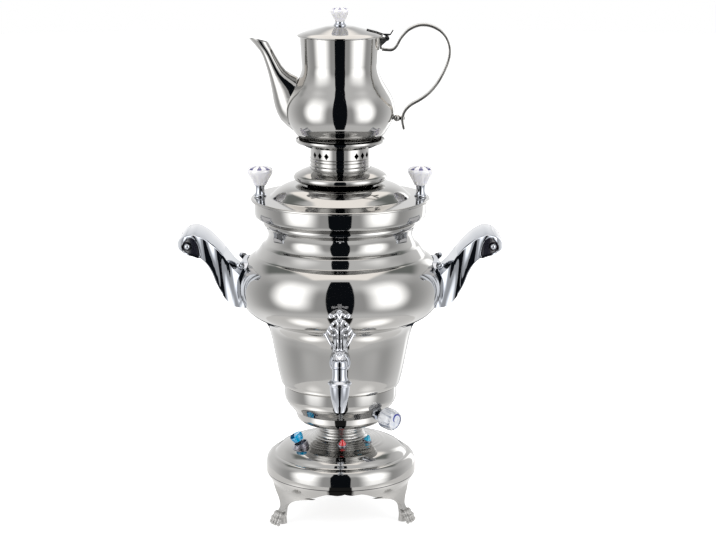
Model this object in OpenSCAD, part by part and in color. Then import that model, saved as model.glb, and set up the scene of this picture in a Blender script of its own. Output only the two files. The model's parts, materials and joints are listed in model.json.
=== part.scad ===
// Electric samovar with its teapot: a claw-footed pedestal, heater bowl, water tank with
// two wide handles and a front tap, a lid with a steam chimney, and a teapot on its saucer.
// Frame: origin on the ground under the tank's axis, +Z up, the tap towards -Y.

/* [Pedestal] */
// Outer radius of the pedestal's band
base_r = 79.4; // [77:0.2:84]
// Height of the seam between the leg casting and the dome
seam_z = 47.5; // [45:0.5:52]
// Height of the dome from the seam to the top of its neck
dome_h = 53.5; // [49:0.5:60]
// Radius of the dome's neck
neck_r = 23.5; // [21:0.5:27]
// Turn of the pedestal against the tap, in degrees
base_turn = 3.5; // [-8:0.5:8]
// Width of a leg at its narrowest
leg_w = 8; // [7:0.5:12]
// Reach of the claws from the ankle
toe_reach = 10.5; // [9.5:0.5:13]
// Thickness of the cast skirt
skirt_t = 2.5; // [2:0.1:3.5]
// Thickness of the closing plate
plate_t = 1.4; // [1:0.1:2.5]
// Radius of the mains cord's hole in its grommet
cord_bore_r = 3.6; // [3:0.1:4.5]
// Radius of the stem tube
stem_r = 6; // [5:0.5:8]

/* [Switch and lamps] */
// Radius of the switch's collar
switch_r = 8.4; // [7.8:0.2:10]
// Tilt of the rocker to either side, in degrees
rock_tilt = 18; // [10:1:18]
// Radius of a pilot lamp's lens
lens_r = 3.9; // [3.2:0.1:4.6]

/* [Heater bowl] */
// Height of the bowl
bowl_h = 42; // [38:0.5:48]
// Outer radius of the bowl
bowl_r = 59.2; // [57:0.2:61]
// Radius of the thermostat's knob
dial_r = 11.1; // [9:0.1:13]
// Length of the thermostat's knob
dial_l = 17.5; // [14:0.5:21]
// Direction of the thermostat's knob, in degrees from the front
dial_turn = 47.5; // [40:0.5:60]

/* [Tank] */
// Thickness of the spun steel shells
sheet_t = 1; // [0.8:0.1:1.3]
// Outer radius of the tank's lowest edge
lip_r = 62.3; // [61.5:0.2:65]
// Outer radius where the tank's wall turns out into the bulge
waist_r = 74.7; // [72:0.2:76]
// Largest outer radius of the tank
bulge_r = 108; // [104:0.5:114]
// Height of the tank's lower wall
wall_h = 59; // [57:0.5:61]
// Height of the bulge's middle over the tank's floor
bulge_up = 108; // [106:0.5:110]
// Radius of the bulge's round profile
bulge_curve = 37; // [35:0.5:39]
// Outer radius of the tank's neck
tank_neck_r = 75; // [73:0.2:77]
// Outer radius of the rim band
rim_r = 89.4; // [88:0.2:90.6]
// Height of the rim band
rim_h = 17.7; // [15:0.1:20]
// Height of the tank from its floor to its rim
tank_h = 199.5; // [196:0.5:210]

/* [Handles] */
// Reach of a handle beyond the bulge
handle_reach = 62; // [56:0.5:70]
// Half of a handle's depth at its waist
handle_half = 25.5; // [22:0.5:28]
// Radius of the cross rod in the curled end
rod_r = 2; // [1.5:0.1:2.5]

/* [Tap] */
// Distance of the tap's upright axis from the tank's axis
tap_y = 124; // [122:0.5:132]
// Height of the tap's level waterway
tap_z = 186; // [180:0.5:192]
// Radius of the waterway
water_r = 3; // [2.5:0.1:3.4]
// Running clearance of the tapered plug
plug_gap = 0.05; // [0.03:0.01:0.1]
// Radius of the key's ring
key_r = 14.2; // [12.5:0.1:15]
// Thickness of the key
key_t = 3.6; // [2.5:0.1:5]

/* [Lid] */
// Outer radius of the lid
lid_r = 93.2; // [92.6:0.1:97]
// Thickness of the lid
lid_t = 1.2; // [1:0.1:1.3]
// Height of the lid's dome above its flange
lid_h = 14.6; // [12:0.2:18]
// Outer radius of the chimney
flue_r = 31; // [30:0.5:33]
// Height of the chimney
flue_h = 37.4; // [33:0.2:44]
// Height of a diamond steam vent
vent_h = 7.2; // [5:0.2:9]
// Radius of a lid knob
knob_r = 12.7; // [10:0.1:14]

/* [Teapot] */
// Radius of the teapot's foot
pot_foot_r = 42.8; // [41:0.2:43.6]
// Largest outer radius of the teapot
pot_belly_r = 54.9; // [53:0.2:58]
// Outer radius of the teapot's neck
pot_neck_r = 41.3; // [39.5:0.2:42.5]
// Height of the teapot to the top of its neck
pot_h = 108.5; // [104:0.5:114]
// Thickness of the teapot's wall
pot_t = 0.8; // [0.6:0.1:1]
// Width of the teapot's handle strip
strip_w = 10; // [8:0.5:13]
// Thickness of the handle strip
strip_t = 1.6; // [1.2:0.1:2.2]
// Radius of the hinge barrel
barrel_r = 2.6; // [2.2:0.1:3]
// Radius of the hinge pin
pin_r = 1.1; // [0.9:0.05:1.3]
// Radius of the teapot's knob
pot_knob_r = 9.8; // [8:0.1:11]

/* [Hidden] */

$fn = 48;
round_fn = 120;      // facets shown on the large spun shells
curve_n = 4;         // points in each span of a smooth line
seat_gap = 0.3;      // between pieces that lift off or curve against each other
fit_gap = 0.15;      // between fixed pieces and their holes
skin_gap = 0.1;      // between a fitting and the sheet that it is clamped on
eps = 0.01;

// Heights of the stacked shells
neck_top_z = seam_z + dome_h;
tank_z = neck_top_z + bowl_h;
bulge_z = tank_z + bulge_up;
rim_z = tank_z + tank_h;
flange_z = rim_z + seat_gap + lid_t;
lid_top_z = flange_z + lid_h;
saucer_z = lid_top_z + flue_h;
pot_z = saucer_z + 5.3;
pot_top_z = pot_z + pot_h;
lid_hole_r = flue_r - 2;

// ---- lines and outlines ----

function last(v) = v[len(v) - 1];
function reverse(v) = [for (i = [len(v) - 1 : -1 : 0]) v[i]];
function unit(v) = v / norm(v);
function spline(a, b, c, d, t) =
    0.5 * (2*b + (c - a)*t + (2*a - 5*b + 4*c - d)*t*t + (3*b - a - 3*c + d)*t*t*t);
// Smooth line through the points p, with n points in each span
function smooth(p, n = curve_n) = [
    for (i = [0 : len(p) - 2]) for (k = [0 : n - 1])
        spline(p[max(i - 1, 0)], p[i], p[i + 1], p[min(i + 2, len(p) - 1)], k / n),
    last(p)];
// Smooth closed line through the points p
function smooth_loop(p, n = curve_n) = let (m = len(p)) [
    for (i = [0 : m - 1]) for (k = [0 : n - 1])
        spline(p[(i + m - 1) % m], p[i], p[(i + 1) % m], p[(i + 2) % m], k / n)];
function arc(c, r, a0, a1, n = 12) = [
    for (k = [0 : n]) let (a = a0 + (a1 - a0) * k / n) c + r * [cos(a), sin(a)]];
function bezier(a, b, c, d, n = 8) = [
    for (k = [1 : n]) let (t = k / n, s = 1 - t) s*s*s*a + 3*s*s*t*b + 3*s*t*t*c + t*t*t*d];
// Outward side of a line that runs upwards along the outside of a shell
function side_of(a, b) = let (d = unit(b - a)) [d[1], -d[0]];
// The line moved inwards by t
function inset(p, t) = [for (i = [0 : len(p) - 1])
    p[i] - t * side_of(p[max(i - 1, 0)], p[min(i + 1, len(p) - 1)])];
// The closed line moved inwards by t, for a line that runs anticlockwise
function inset_loop(p, t) = let (m = len(p)) [for (i = [0 : m - 1])
    p[i] - t * side_of(p[(i + m - 1) % m], p[(i + 1) % m])];
function wall(p, t) = concat(p, reverse(inset(p, t)));
function mirror_x(p) = [for (i = [len(p) - 1 : -1 : 0]) [-p[i][0], p[i][1]]];

module revolve(p, n = round_fn) rotate_extrude($fn = n) polygon(p);
// A spun shell of thickness t whose outside is the line
module spun(line, t = sheet_t) revolve(wall(line, t));
// Everything inside a shell's outer line, grown by g
module within(line, g = 0) let (p = inset(line, -g))
    revolve(concat([[0, p[0][1]]], p, [[0, last(p)[1]]]));

// ---- placing ----

// Stands its children on a surface: az from the front, radius r, height z, and e the
// height of the outward normal above level, in degrees. The children's +Z is the normal.
module on_surface(az, r, z, e) rotate([0, 0, az]) translate([0, -r, z]) rotate([90 - e, 0, 0])
    children();
// Turns its children's +Z to the front
module facing_front(y, z, x = 0) translate([x, -y, z]) rotate([90, 0, 0]) children();
// Extrudes an X-Z outline to w, across Y
module across(w) rotate([90, 0, 0]) linear_extrude(w, center = true) children();
module each_leg() for (a = [60, 180, 300]) rotate([0, 0, a]) children();
module both_sides() for (s = [0, 1]) mirror([s, 0, 0]) children();
module rounded_rect(w, h, r) {
    square([w - 2*r, h], center = true);
    square([w, h - 2*r], center = true);
    for (x = [-1, 1]) for (y = [-1, 1]) translate([x * (w/2 - r), y * (h/2 - r)]) circle(r);
}
module ring(r_out, r_in, h) difference() {
    cylinder(r = r_out, h = h);
    translate([0, 0, -1]) cylinder(r = r_in, h = h + 2);
}
module hex_nut(r_out, r_in, h) difference() {
    cylinder(r = r_out, h = h, $fn = 6);
    translate([0, 0, -1]) cylinder(r = r_in, h = h + 2);
}
// Acorn nut on its base, with a blind hole for a stud
module acorn_nut(r, hole_r, hole_h) difference() {
    union() {
        cylinder(r = r, h = 0.65 * r, $fn = 6);
        translate([0, 0, 0.6 * r]) cylinder(r = 0.8 * r, h = 0.35 * r);
        translate([0, 0, 0.95 * r]) sphere(0.8 * r);
    }
    translate([0, 0, -1]) cylinder(r = hole_r, h = hole_h + 1);
}
// Tapered rod between two points, with a larger ball at its far end
module rod(a, b, ra, rb, ball) let (v = b - a, l = norm(v)) {
    translate(a) rotate([0, acos(v[2] / l), atan2(v[1], v[0])]) cylinder(r1 = ra, r2 = rb, h = l);
    translate(b) sphere(ball);
}
// Skin over rings of points that all have the same number of points
module loft(rings) let (n = len(rings[0]), m = len(rings)) polyhedron(
    points = [for (r = rings) each r],
    faces = concat(
        [[for (k = [0 : n - 1]) k]],
        [[for (k = [n - 1 : -1 : 0]) (m - 1) * n + k]],
        [for (j = [0 : m - 2]) for (k = [0 : n - 1]) [j*n + k, (j + 1)*n + k, j*n + (k + 1) % n]],
        [for (j = [0 : m - 2]) for (k = [0 : n - 1])
            [j*n + (k + 1) % n, (j + 1)*n + k, (j + 1)*n + (k + 1) % n]]),
    convexity = 6);

// ---- pedestal ----

leg_r = base_r - 5.4;        // outer radius of an ankle
boss_r = base_r - 11.2;      // radius of the screw bosses
web_r = base_r - skirt_t - 0.5;
plate_top_z = seam_z - 2.5;
plate_z = plate_top_z - plate_t;
screw_r = 2;

// Profile of the skirt and the legs: distance from the ankle, and share of the seam's height
function skirt_at(p) = [for (q = p) [leg_r + q[0], q[1] * seam_z]];
skirt_line = concat(smooth(skirt_at([[4.6, 0.19], [3.2, 0.253], [1.4, 0.316], [0, 0.379], [-0.9, 0.453],
    [-1.8, 0.537], [-2.2, 0.621], [-1.9, 0.695], [-0.4, 0.779], [2.2, 0.874], [4.4, 0.95]]), 3), [[base_r, seam_z]]);
skirt_inside = concat(smooth(skirt_at([[-2.2, 0.19], [-4, 0.316], [-4.8, 0.45], [-5.8, 0.58], [-5.6, 0.68],
    [-4, 0.79], [-1, 0.89]]), 3), [[base_r - skirt_t, seam_z]]);
// Half of an arch between two legs, with its small peak in the middle, as shares of the
// band's radius and of the seam's height
arch_line = smooth([[0, 0.903], [0.0441, 0.878], [0.1008, 0.865], [0.1637, 0.876], [0.233, 0.88],
    [0.3149, 0.83], [0.403, 0.755], [0.4912, 0.725], [0.5919, 0.66]], 3);
// Half width of a leg against its height
leg_line = [for (p = smooth([[2.5, -0.02], [1.8, 0.17], [0.4, 0.27], [0, 0.36], [1.7, 0.43], [5, 0.495],
    [10, 0.553], [17, 0.61], [25, 0.663], [35, 0.705]], 3)) [leg_w / 2 + p[0], p[1] * seam_z]];

module arch_cut() let (p = [for (q = arch_line) [q[0] * base_r, q[1] * seam_z]])
    translate([0, -base_r, 0]) across(2 * base_r - 60)
        polygon(concat(mirror_x(p), p, [[last(p)[0], 0], [-last(p)[0], 0]]));

// A claw, i places to the side of the foot's middle: two joints and a nail
module toe(i) let (back = 0.6 * i * i, knuckle = [3.3 * i, back - leg_r - 0.48 * toe_reach, 10.3],
    joint = [4.3 * i, back - leg_r - 0.8 * toe_reach, 6], nail = [4.8 * i, back - leg_r - toe_reach, 1.6]) {
    rod([1.6 * i, 1 - leg_r, 12], knuckle, 2.3, 2.4, 2.9);
    rod(knuckle, joint, 2.2, 1.9, 2.4);
    rod(joint, nail, 1.8, 1.3, 1.9);
}

module leg_skirt() color("silver") rotate([0, 0, base_turn]) difference() {
    union() {
        difference() {
            // with a spigot that centres the dome
            revolve(concat(skirt_line, [[base_r - sheet_t - fit_gap, seam_z],
                [base_r - sheet_t - fit_gap, seam_z + 3.5], [base_r - skirt_t, seam_z + 3.5]], reverse(skirt_inside)));
            difference() {
                union() {
                    cylinder(r = 2 * base_r, h = last(arch_line)[1] * seam_z);
                    for (a = [0, 120, 240]) rotate([0, 0, a]) arch_cut();
                }
                each_leg() translate([0, -base_r, 0]) across(2 * base_r - 60)
                    polygon(concat(leg_line, mirror_x(leg_line)));
            }
        }
        each_leg() {
            for (i = [-1.5, -0.5, 0.5, 1.5]) toe(i);
            // heel pad that stands on the table
            translate([0, -leg_r + 0.5, 0]) cylinder(r1 = 4.7, r2 = 3.7, h = 12);
            translate([0, -boss_r, plate_top_z]) cylinder(r = 4.6, h = 7);
            translate([-2.6, -web_r, plate_top_z]) cube([5.2, web_r - boss_r, 6.4]);
        }
    }
    each_leg() translate([0, -boss_r, plate_top_z - 1]) cylinder(r = screw_r + fit_gap, h = 7);
    translate([0, 0, -10]) cylinder(r = 2 * base_r, h = 10);
}

// A point of the dome: f from neck to band, h from seam to neck top
function dome_at(f, h) = [neck_r + f * (base_r - neck_r), seam_z + h * dome_h];
dome_roll = smooth([dome_at(1, 0.168), dome_at(0.978, 0.271), dome_at(0.905, 0.358),
    dome_at(0.83, 0.378)], 5);
dome_flare = smooth([dome_at(0.815, 0.392), dome_at(0.76, 0.458), dome_at(0.689, 0.514),
    dome_at(0.563, 0.568), dome_at(0.42, 0.602), dome_at(0.27, 0.632), dome_at(0.134, 0.673),
    dome_at(0.045, 0.738), dome_at(0, 0.83)], 6);
// Fine turned ribs, pitched along the upper part of the flare
rib = 0.35;
dome_ribs = [for (i = [0 : len(dome_flare) - 1]) let (a = dome_flare[max(i - 1, 0)],
    b = dome_flare[min(i + 1, len(dome_flare) - 1)])
    dome_flare[i] + (i > 24 ? rib * (1 - cos(120 * i)) / 1.5 : 0) * side_of(a, b)];
dome_line = concat([[base_r, seam_z]], dome_roll, dome_ribs,
    [for (i = [0 : 3]) each [[neck_r, neck_top_z - 8.6 + 2*i], [neck_r + rib, neck_top_z - 7.8 + 2*i],
        [neck_r, neck_top_z - 7 + 2*i]]],
    [[neck_r, neck_top_z - 0.6], [neck_r - 0.6, neck_top_z], [stem_r + fit_gap, neck_top_z]]);

lamp_at = dome_at(0.161, 0.664);
switch_at = dome_at(0.456, 0.602);
switch_turn = -64;
switch_tilt = 77;      // the switch stands square to the dome
blue_turn = 56;
module at_lamp(turn) rotate([0, 0, base_turn]) on_surface(turn, lamp_at[0], lamp_at[1], 72) children();
module at_switch() rotate([0, 0, base_turn]) on_surface(switch_turn, switch_at[0], switch_at[1], switch_tilt)
    children();

module base_dome() color("gainsboro") difference() {
    spun(dome_line);
    for (a = [0, blue_turn]) at_lamp(a) translate([0, 0, -10]) cylinder(r = lens_r + 0.55, h = 20);
    at_switch() translate([0, 0, -14]) cylinder(r = switch_r - 0.6, h = 24);
}

grommet_at = [43, 25];
module at_grommet() translate([grommet_at[0], grommet_at[1], plate_z]) children();
module base_plate() color("dimgray") rotate([0, 0, base_turn]) difference() {
    translate([0, 0, plate_z]) cylinder(r = base_r - skirt_t - 3.2, h = plate_t, $fn = round_fn);
    translate([0, 0, plate_z - 1]) cylinder(r = stem_r + fit_gap, h = plate_t + 2);
    each_leg() translate([0, -boss_r, plate_z - 1]) cylinder(r = screw_r + fit_gap, h = plate_t + 2);
    at_grommet() translate([0, 0, -1]) cylinder(r = cord_bore_r + 1.8 + fit_gap, h = plate_t + 2);
}
module base_screws() color("gray") rotate([0, 0, base_turn]) each_leg() translate([0, -boss_r, 0]) {
    translate([0, 0, plate_z - 2]) cylinder(r = 3.6, h = 2);
    translate([0, 0, plate_z - eps]) cylinder(r = screw_r, h = 6);
}
module cord_grommet() color("black") rotate([0, 0, base_turn]) at_grommet() difference() {
    union() {
        translate([0, 0, -2.2]) cylinder(r = cord_bore_r + 3.6, h = 2.2);
        translate([0, 0, -1]) cylinder(r = cord_bore_r + 1.8, h = plate_t + 2);
        translate([0, 0, plate_t]) cylinder(r = cord_bore_r + 3.6, h = 2.2);
    }
    translate([0, 0, -5]) cylinder(r = cord_bore_r, h = plate_t + 10);
}
block_x = -14;
lead_r = 0.9;
lead_z = plate_top_z + 8;
module terminal_block() color("ivory") difference() {
    translate([block_x - 24, -8, plate_top_z]) cube([24, 16, 14]);
    for (x = [-6, -12, -18]) translate([block_x + x, 0, plate_top_z + 7]) cylinder(r = 2, h = 20);
}
module stem_tube() color("goldenrod") difference() {
    translate([0, 0, plate_z - 4.2]) cylinder(r = stem_r, h = neck_top_z + sheet_t + 7.5 - plate_z + 4.2);
    translate([0, 0, plate_z - 10]) cylinder(r = stem_r - 1.8, h = dome_h + 60);
    // window for the leads
    translate([-stem_r - 1, -3.4, lead_z - 4]) cube([stem_r + 1, 6.8, 10]);
}
module stem_nuts() color("gold") {
    translate([0, 0, plate_z - 4]) hex_nut(stem_r + 4.4, stem_r + 0.05, 4);
    translate([0, 0, neck_top_z + sheet_t]) hex_nut(stem_r + 4.4, stem_r + 0.05, 4);
}
module stem_leads() color("firebrick") let (top = neck_top_z + sheet_t + 10,
    out = stem_r - 1.8 - lead_r - 0.15) for (i = [-1, 0, 1])
    let (x = -out * cos(44 * i), y = out * sin(44 * i), z = lead_z + 2.5 * i) {
        translate([x, y, z]) cylinder(r = lead_r, h = top - z);
        translate([x, y, z]) sphere(lead_r);
        translate([x, y, z]) rotate([0, -90, 0]) cylinder(r = lead_r, h = x - block_x);
    }

// ---- lamps and switch ----

module lens() let (r = lens_r) {
    translate([0, 0, -6]) cylinder(r = r - 0.55, h = 7.6);
    translate([0, 0, 1.6]) cylinder(r1 = r, r2 = 0.36 * r, h = 4.6);
    translate([0, 0, 6.2]) cylinder(r1 = 0.36 * r, r2 = 0.12 * r, h = 0.5);
}
module bezel(turn) difference() {
    at_lamp(turn) difference() {
        union() {
            translate([0, 0, -1.2]) cylinder(r = lens_r + 1.3, h = 2.2);
            translate([0, 0, 1]) cylinder(r1 = lens_r + 1.3, r2 = lens_r + 0.8, h = 0.5);
        }
        translate([0, 0, -8]) cylinder(r = lens_r - 0.5, h = 20);
    }
    within(dome_line, skin_gap);
}
module red_lamp() color("red") at_lamp(0) lens();
module red_lamp_bezel() color("silver") bezel(0);
module blue_lamp() color("deepskyblue") at_lamp(blue_turn) lens();
module blue_lamp_bezel() color("silver") bezel(blue_turn);

rock_z = 5.8;          // height of the rocker's pivot over the dome
rock_turn = -50;       // turn of the rocker's pin in its collar
rock_ball = switch_r - 1.8;
collar_in = switch_r - 1.5;
rock_pin_r = 0.8;
rocker_line = concat([[0, 0.6], [rock_ball - 1.4, 0.6]],
    smooth([[rock_ball - 1, 3], [rock_ball - 0.3, 5.6], [rock_ball + 0.3, 7.8], [rock_ball + 0.5, 9],
        [rock_ball + 0.3, 9.8], [rock_ball - 0.3, 10.1]], 3),
    [[rock_ball - 1, 9.9], [rock_ball - 1.6, 9.4], [0, 9]]);
module at_pivot() translate([0, 0, rock_z]) rotate([0, 0, rock_turn]) children();
module switch_housing() color("slategray") difference() {
    union() {
        difference() {
            at_switch() {
                translate([0, 0, -6]) cylinder(r = switch_r + 0.9, h = 7.4);
                cylinder(r1 = switch_r + 0.3, r2 = switch_r - 0.4, h = rock_z + 1.2);
            }
            within(dome_line, skin_gap);
        }
        at_switch() translate([0, 0, -10]) cylinder(r = switch_r - 0.75, h = 12);
    }
    at_switch() {
        translate([0, 0, 0.4]) cylinder(r = collar_in, h = 20);
        at_pivot() rotate([0, 90, 0]) cylinder(r = rock_pin_r + 0.05, h = 40, center = true);
    }
}
module switch_rocker() color("dodgerblue") at_switch() at_pivot() rotate([rock_tilt, 0, 0]) {
    intersection() {
        sphere(rock_ball);
        translate([0, 0, -3.3]) cylinder(r = 2 * rock_ball, h = 4.4);
    }
    revolve(rocker_line, $fn);
    rotate([0, 90, 0]) cylinder(r = rock_pin_r, h = 2 * switch_r - 1.6, center = true);
}

// ---- heater bowl ----

function bowl_at(r, h) = [bowl_r - r, neck_top_z + h * bowl_h];
bowl_line = concat([[stem_r + fit_gap, neck_top_z]],
    smooth([bowl_at(29.2, 0), bowl_at(21.2, 0.019), bowl_at(16.6, 0.048), bowl_at(13.7, 0.119),
        bowl_at(12.2, 0.214), bowl_at(11.2, 0.31)]),
    smooth([bowl_at(10.2, 0.322), bowl_at(7.2, 0.42), bowl_at(3.5, 0.524), bowl_at(1, 0.62),
        bowl_at(0, 0.74)]),
    [bowl_at(0, 0.976), bowl_at(1, 1), bowl_at(9.5, 1)]);

dial_at = bowl_at(7.2, 0.417);
dial_tilt = -8.5;
bush_h = 8;
shaft_r = 3;
module at_dial() on_surface(dial_turn, dial_at[0], dial_at[1], dial_tilt) children();

module heater_bowl() color("gainsboro") difference() {
    spun(bowl_line);
    at_dial() translate([0, 0, -8]) cylinder(r = 4.7, h = 16);
    for (a = [0, 120, 240]) rotate([0, 0, a + 30]) translate([0, -bowl_r + 6, tank_z - 3])
        cylinder(r = 2.3, h = 6);
}
module thermostat_body() color("ivory") at_dial() difference() {
    union() {
        translate([0, 0, -26]) cylinder(r = 11, h = 17);
        for (x = [-5, 5]) translate([x - 2.5, -0.4, -33]) cube([5, 0.8, 7.5]);
    }
    translate([0, 0, -16]) cylinder(r = shaft_r + fit_gap, h = 10);
}
module thermostat_bush() color("silver") difference() {
    union() {
        at_dial() translate([0, 0, -9]) cylinder(r = 4.55, h = 12);
        difference() {
            at_dial() union() {
                translate([0, 0, -6]) cylinder(r = 6.4, h = 8.5);
                translate([0, 0, 2]) cylinder(r = 5.6, h = bush_h - 2, $fn = 6);
            }
            within(bowl_line, skin_gap);
        }
    }
    at_dial() translate([0, 0, -20]) cylinder(r = shaft_r + 0.06, h = 40);
}
module thermostat_shaft() color("gray") at_dial() translate([0, 0, -15.5])
    cylinder(r = shaft_r, h = 15.5 + bush_h + 12);
knob_z = bush_h + 0.4;
module thermostat_knob() color("white") at_dial() translate([0, 0, knob_z]) difference() {
    revolve(concat([[0, 0], [0.68 * dial_r, 0]],
        smooth([[0.76 * dial_r, 0.02 * dial_l], [0.95 * dial_r, 0.16 * dial_l], [dial_r, 0.4 * dial_l],
            [dial_r, 0.72 * dial_l], [0.95 * dial_r, 0.9 * dial_l], [0.84 * dial_r, dial_l]]),
        [[0.78 * dial_r, dial_l], [0.76 * dial_r, dial_l - 1.2], [0, dial_l - 1.2]]), $fn);
    translate([0, 0, -1]) cylinder(r = shaft_r + 0.05, h = 13);
}
module knob_disc() color("royalblue") at_dial() translate([0, 0, knob_z + dial_l - 1.2])
    revolve([[0, 0], [0.74 * dial_r, 0], [0.74 * dial_r, 0.8], [0.6 * dial_r, 1.2], [0, 1.5]], $fn);

cutout_at = [-24, 14];
module thermal_cutout() color("black") translate([cutout_at[0], cutout_at[1], tank_z - 8]) {
    translate([0, 0, 2]) cylinder(r = 8, h = 6);
    cylinder(r = 6, h = 2);
    for (y = [-3, 3]) translate([-0.4, y - 1.5, -5]) cube([0.8, 3, 5]);
}
module cutout_clip() color("silver") translate([cutout_at[0], cutout_at[1], tank_z]) {
    difference() {
        translate([-9.5, -4, -9.2]) cube([19, 8, 9.2]);
        translate([-8.5, -5, -8]) cube([17, 10, 9]);
        translate([0, 0, -10]) cylinder(r = 6.2, h = 12);
    }
    for (s = [-1, 1]) translate([s * 12.4 - 3, -4, -1]) cube([6, 8, 1]);
}

// ---- tank ----

element_leg = 14;
element_ring = 34;
element_r = 4;
element_z = tank_z + 12;
tap_hole_r = 6.3;
bulge_c = [bulge_r - bulge_curve, bulge_z];
bulge_low = -64;
bulge_high = 58;
band_z = rim_z - rim_h;
tank_rim_r = rim_r - sheet_t - fit_gap;
// Points of the lower wall, of the shoulder and of the neck up to the rim band
function wall_at(f, h) = [lip_r + f * (waist_r - lip_r), tank_z + h * wall_h];
shoulder_r = bulge_c[0] + bulge_curve * cos(bulge_high);
shoulder_z = bulge_c[1] + bulge_curve * sin(bulge_high);
shoulder_h = band_z - shoulder_z;
function shoulder_at(f, h) = [tank_neck_r + f * (shoulder_r - tank_neck_r), shoulder_z + h * shoulder_h];
function neck_at(f, h) = [tank_neck_r + f * (tank_rim_r - tank_neck_r), shoulder_z + h * shoulder_h];
tank_line = concat([[0, tank_z], [lip_r - 3, tank_z]],
    bezier([lip_r - 3, tank_z], [lip_r - 1, tank_z], [lip_r, tank_z + 1], [lip_r + 0.6, tank_z + 4], 4),
    smooth([[lip_r + 0.8, tank_z + 5], wall_at(0.26, 0.254), wall_at(0.53, 0.542), wall_at(0.81, 0.847),
        wall_at(1, 1)]),
    bezier(wall_at(1, 1), wall_at(1, 1) + [1.7, 7],
        bulge_c + bulge_curve * [cos(bulge_low), sin(bulge_low)] - 7 * [-sin(bulge_low), cos(bulge_low)],
        bulge_c + bulge_curve * [cos(bulge_low), sin(bulge_low)]),
    arc(bulge_c, bulge_curve, bulge_low + 5, bulge_high, 24),
    // pressed step of the shoulder, the neck and its bead
    smooth([shoulder_at(0.9, 0.015), shoulder_at(0.81, 0.055), shoulder_at(0.65, 0.138),
        shoulder_at(0.49, 0.23), shoulder_at(0.42, 0.256), shoulder_at(0.27, 0.296),
        shoulder_at(0.17, 0.345), shoulder_at(0.06, 0.425), shoulder_at(0, 0.534),
        shoulder_at(0.06, 0.624), shoulder_at(0.15, 0.713)], 2),
    arc(neck_at(0.12, 0.822), 0.092 * shoulder_h, -62, 62, 8),
    smooth([neck_at(0.32, 0.915), neck_at(0.57, 0.948), neck_at(0.73, 0.969), neck_at(0.93, 1),
        neck_at(1, 1.07)], 3),
    [[tank_rim_r, rim_z]]);
inner_tank = inset(tank_line, sheet_t);

// Fixing studs of the handles, square to the bulge
stud_side = 14;
stud_up = 33.6;
stud_r = 2;
pad_t = 3.2;
module at_studs() both_sides() for (s = [-1, 1]) rotate([0, 0, s * stud_side])
    translate([bulge_c[0], 0, bulge_c[1]]) rotate([0, 90 - stud_up, 0]) translate([0, 0, bulge_curve])
        children();
// Studs under the floor that hold the tank on the bowl
module at_floor_studs() for (a = [0, 120, 240]) rotate([0, 0, a + 30])
    translate([0, -bowl_r + 6, tank_z]) children();

module tank() color("gainsboro") difference() {
    union() {
        spun(tank_line);
        at_studs() translate([0, 0, -0.8]) cylinder(r = stud_r, h = pad_t + 3.6);
        at_floor_studs() translate([0, 0, -6]) cylinder(r = 2, h = 6 + 0.5 * sheet_t);
    }
    facing_front(waist_r + 10, tap_z) translate([0, 0, -30]) cylinder(r = tap_hole_r, h = 40);
    each_element_leg() translate([0, 0, -2]) cylinder(r = element_r + 0.6, h = 6);
}
module tank_nuts() color("silver") at_floor_studs() translate([0, 0, -sheet_t - 2.6 - skin_gap])
    hex_nut(4, 2.1, 2.6);
band_line = concat([[tank_rim_r - 4, band_z - 2.2]],
    smooth([[rim_r - 3.2, band_z - 1.9], [rim_r - 1, band_z - 0.8], [rim_r, band_z + 2.6]], 3),
    [[rim_r, rim_z - 1], [rim_r - 0.3, rim_z]]);
module rim_band() color("silver") difference() {
    spun(band_line);
    within(tank_line, skin_gap);
}
module each_element_leg() for (x = [-element_leg, element_leg])
    translate([x, sqrt(element_ring * element_ring - element_leg * element_leg), tank_z]) children();
module heating_element() color("gray") {
    difference() {
        translate([0, 0, element_z]) rotate_extrude($fn = 72) translate([element_ring, 0])
            circle(element_r - 0.4, $fn = 32);
        // opening of the ring between its two legs
        translate([-element_leg, 0, element_z - 10]) cube([2 * element_leg, 60, 20]);
    }
    each_element_leg() {
        translate([0, 0, -14]) cylinder(r = element_r, h = element_z - tank_z + 14 + element_r + 1);
        translate([-0.4, -3, -20.5]) cube([0.8, 6, 7]);
    }
}
module element_seals() color("black") each_element_leg() translate([0, 0, sheet_t])
    ring(element_r + 3.5, element_r + 0.1, 2);
module element_nuts() color("gold") each_element_leg() {
    translate([0, 0, -3.6]) hex_nut(element_r + 4, element_r + 0.1, 3.6);
    translate([0, 0, sheet_t + 2]) hex_nut(element_r + 4, element_r + 0.1, 3);
}

// ---- handles ----

// A handle's point: dx beyond the bulge and dz over its middle
hx = handle_reach / 62;
function grip_at(x, z) = [bulge_r + x * (x > 0 ? hx : 1), bulge_z + z];
function grip_line(p) = [for (q = p) grip_at(q[0], q[1])];
handle_top = [[-16, 4], [-10, 9.2], [-2.7, 15.6], [4, 21.8], [13.9, 35.4], [21, 43.7], [30, 51.5],
    [38, 55.9], [45.3, 57.6], [53.3, 55.2], [59, 50], [62, 43.6], [59.9, 40]];
handle_under = [[56, 38.6], [51.6, 36.7], [45.7, 35.3], [39.1, 33.9], [33.2, 29.1], [29.3, 24.4],
    [24.7, 15.5], [20.9, 5.2], [15.6, -5], [11, -12], [5.7, -16.9], [-1, -19.6], [-16, -20]];
handle_outline = smooth(grip_line(concat(reverse(handle_under), reverse(handle_top))), 3);
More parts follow.
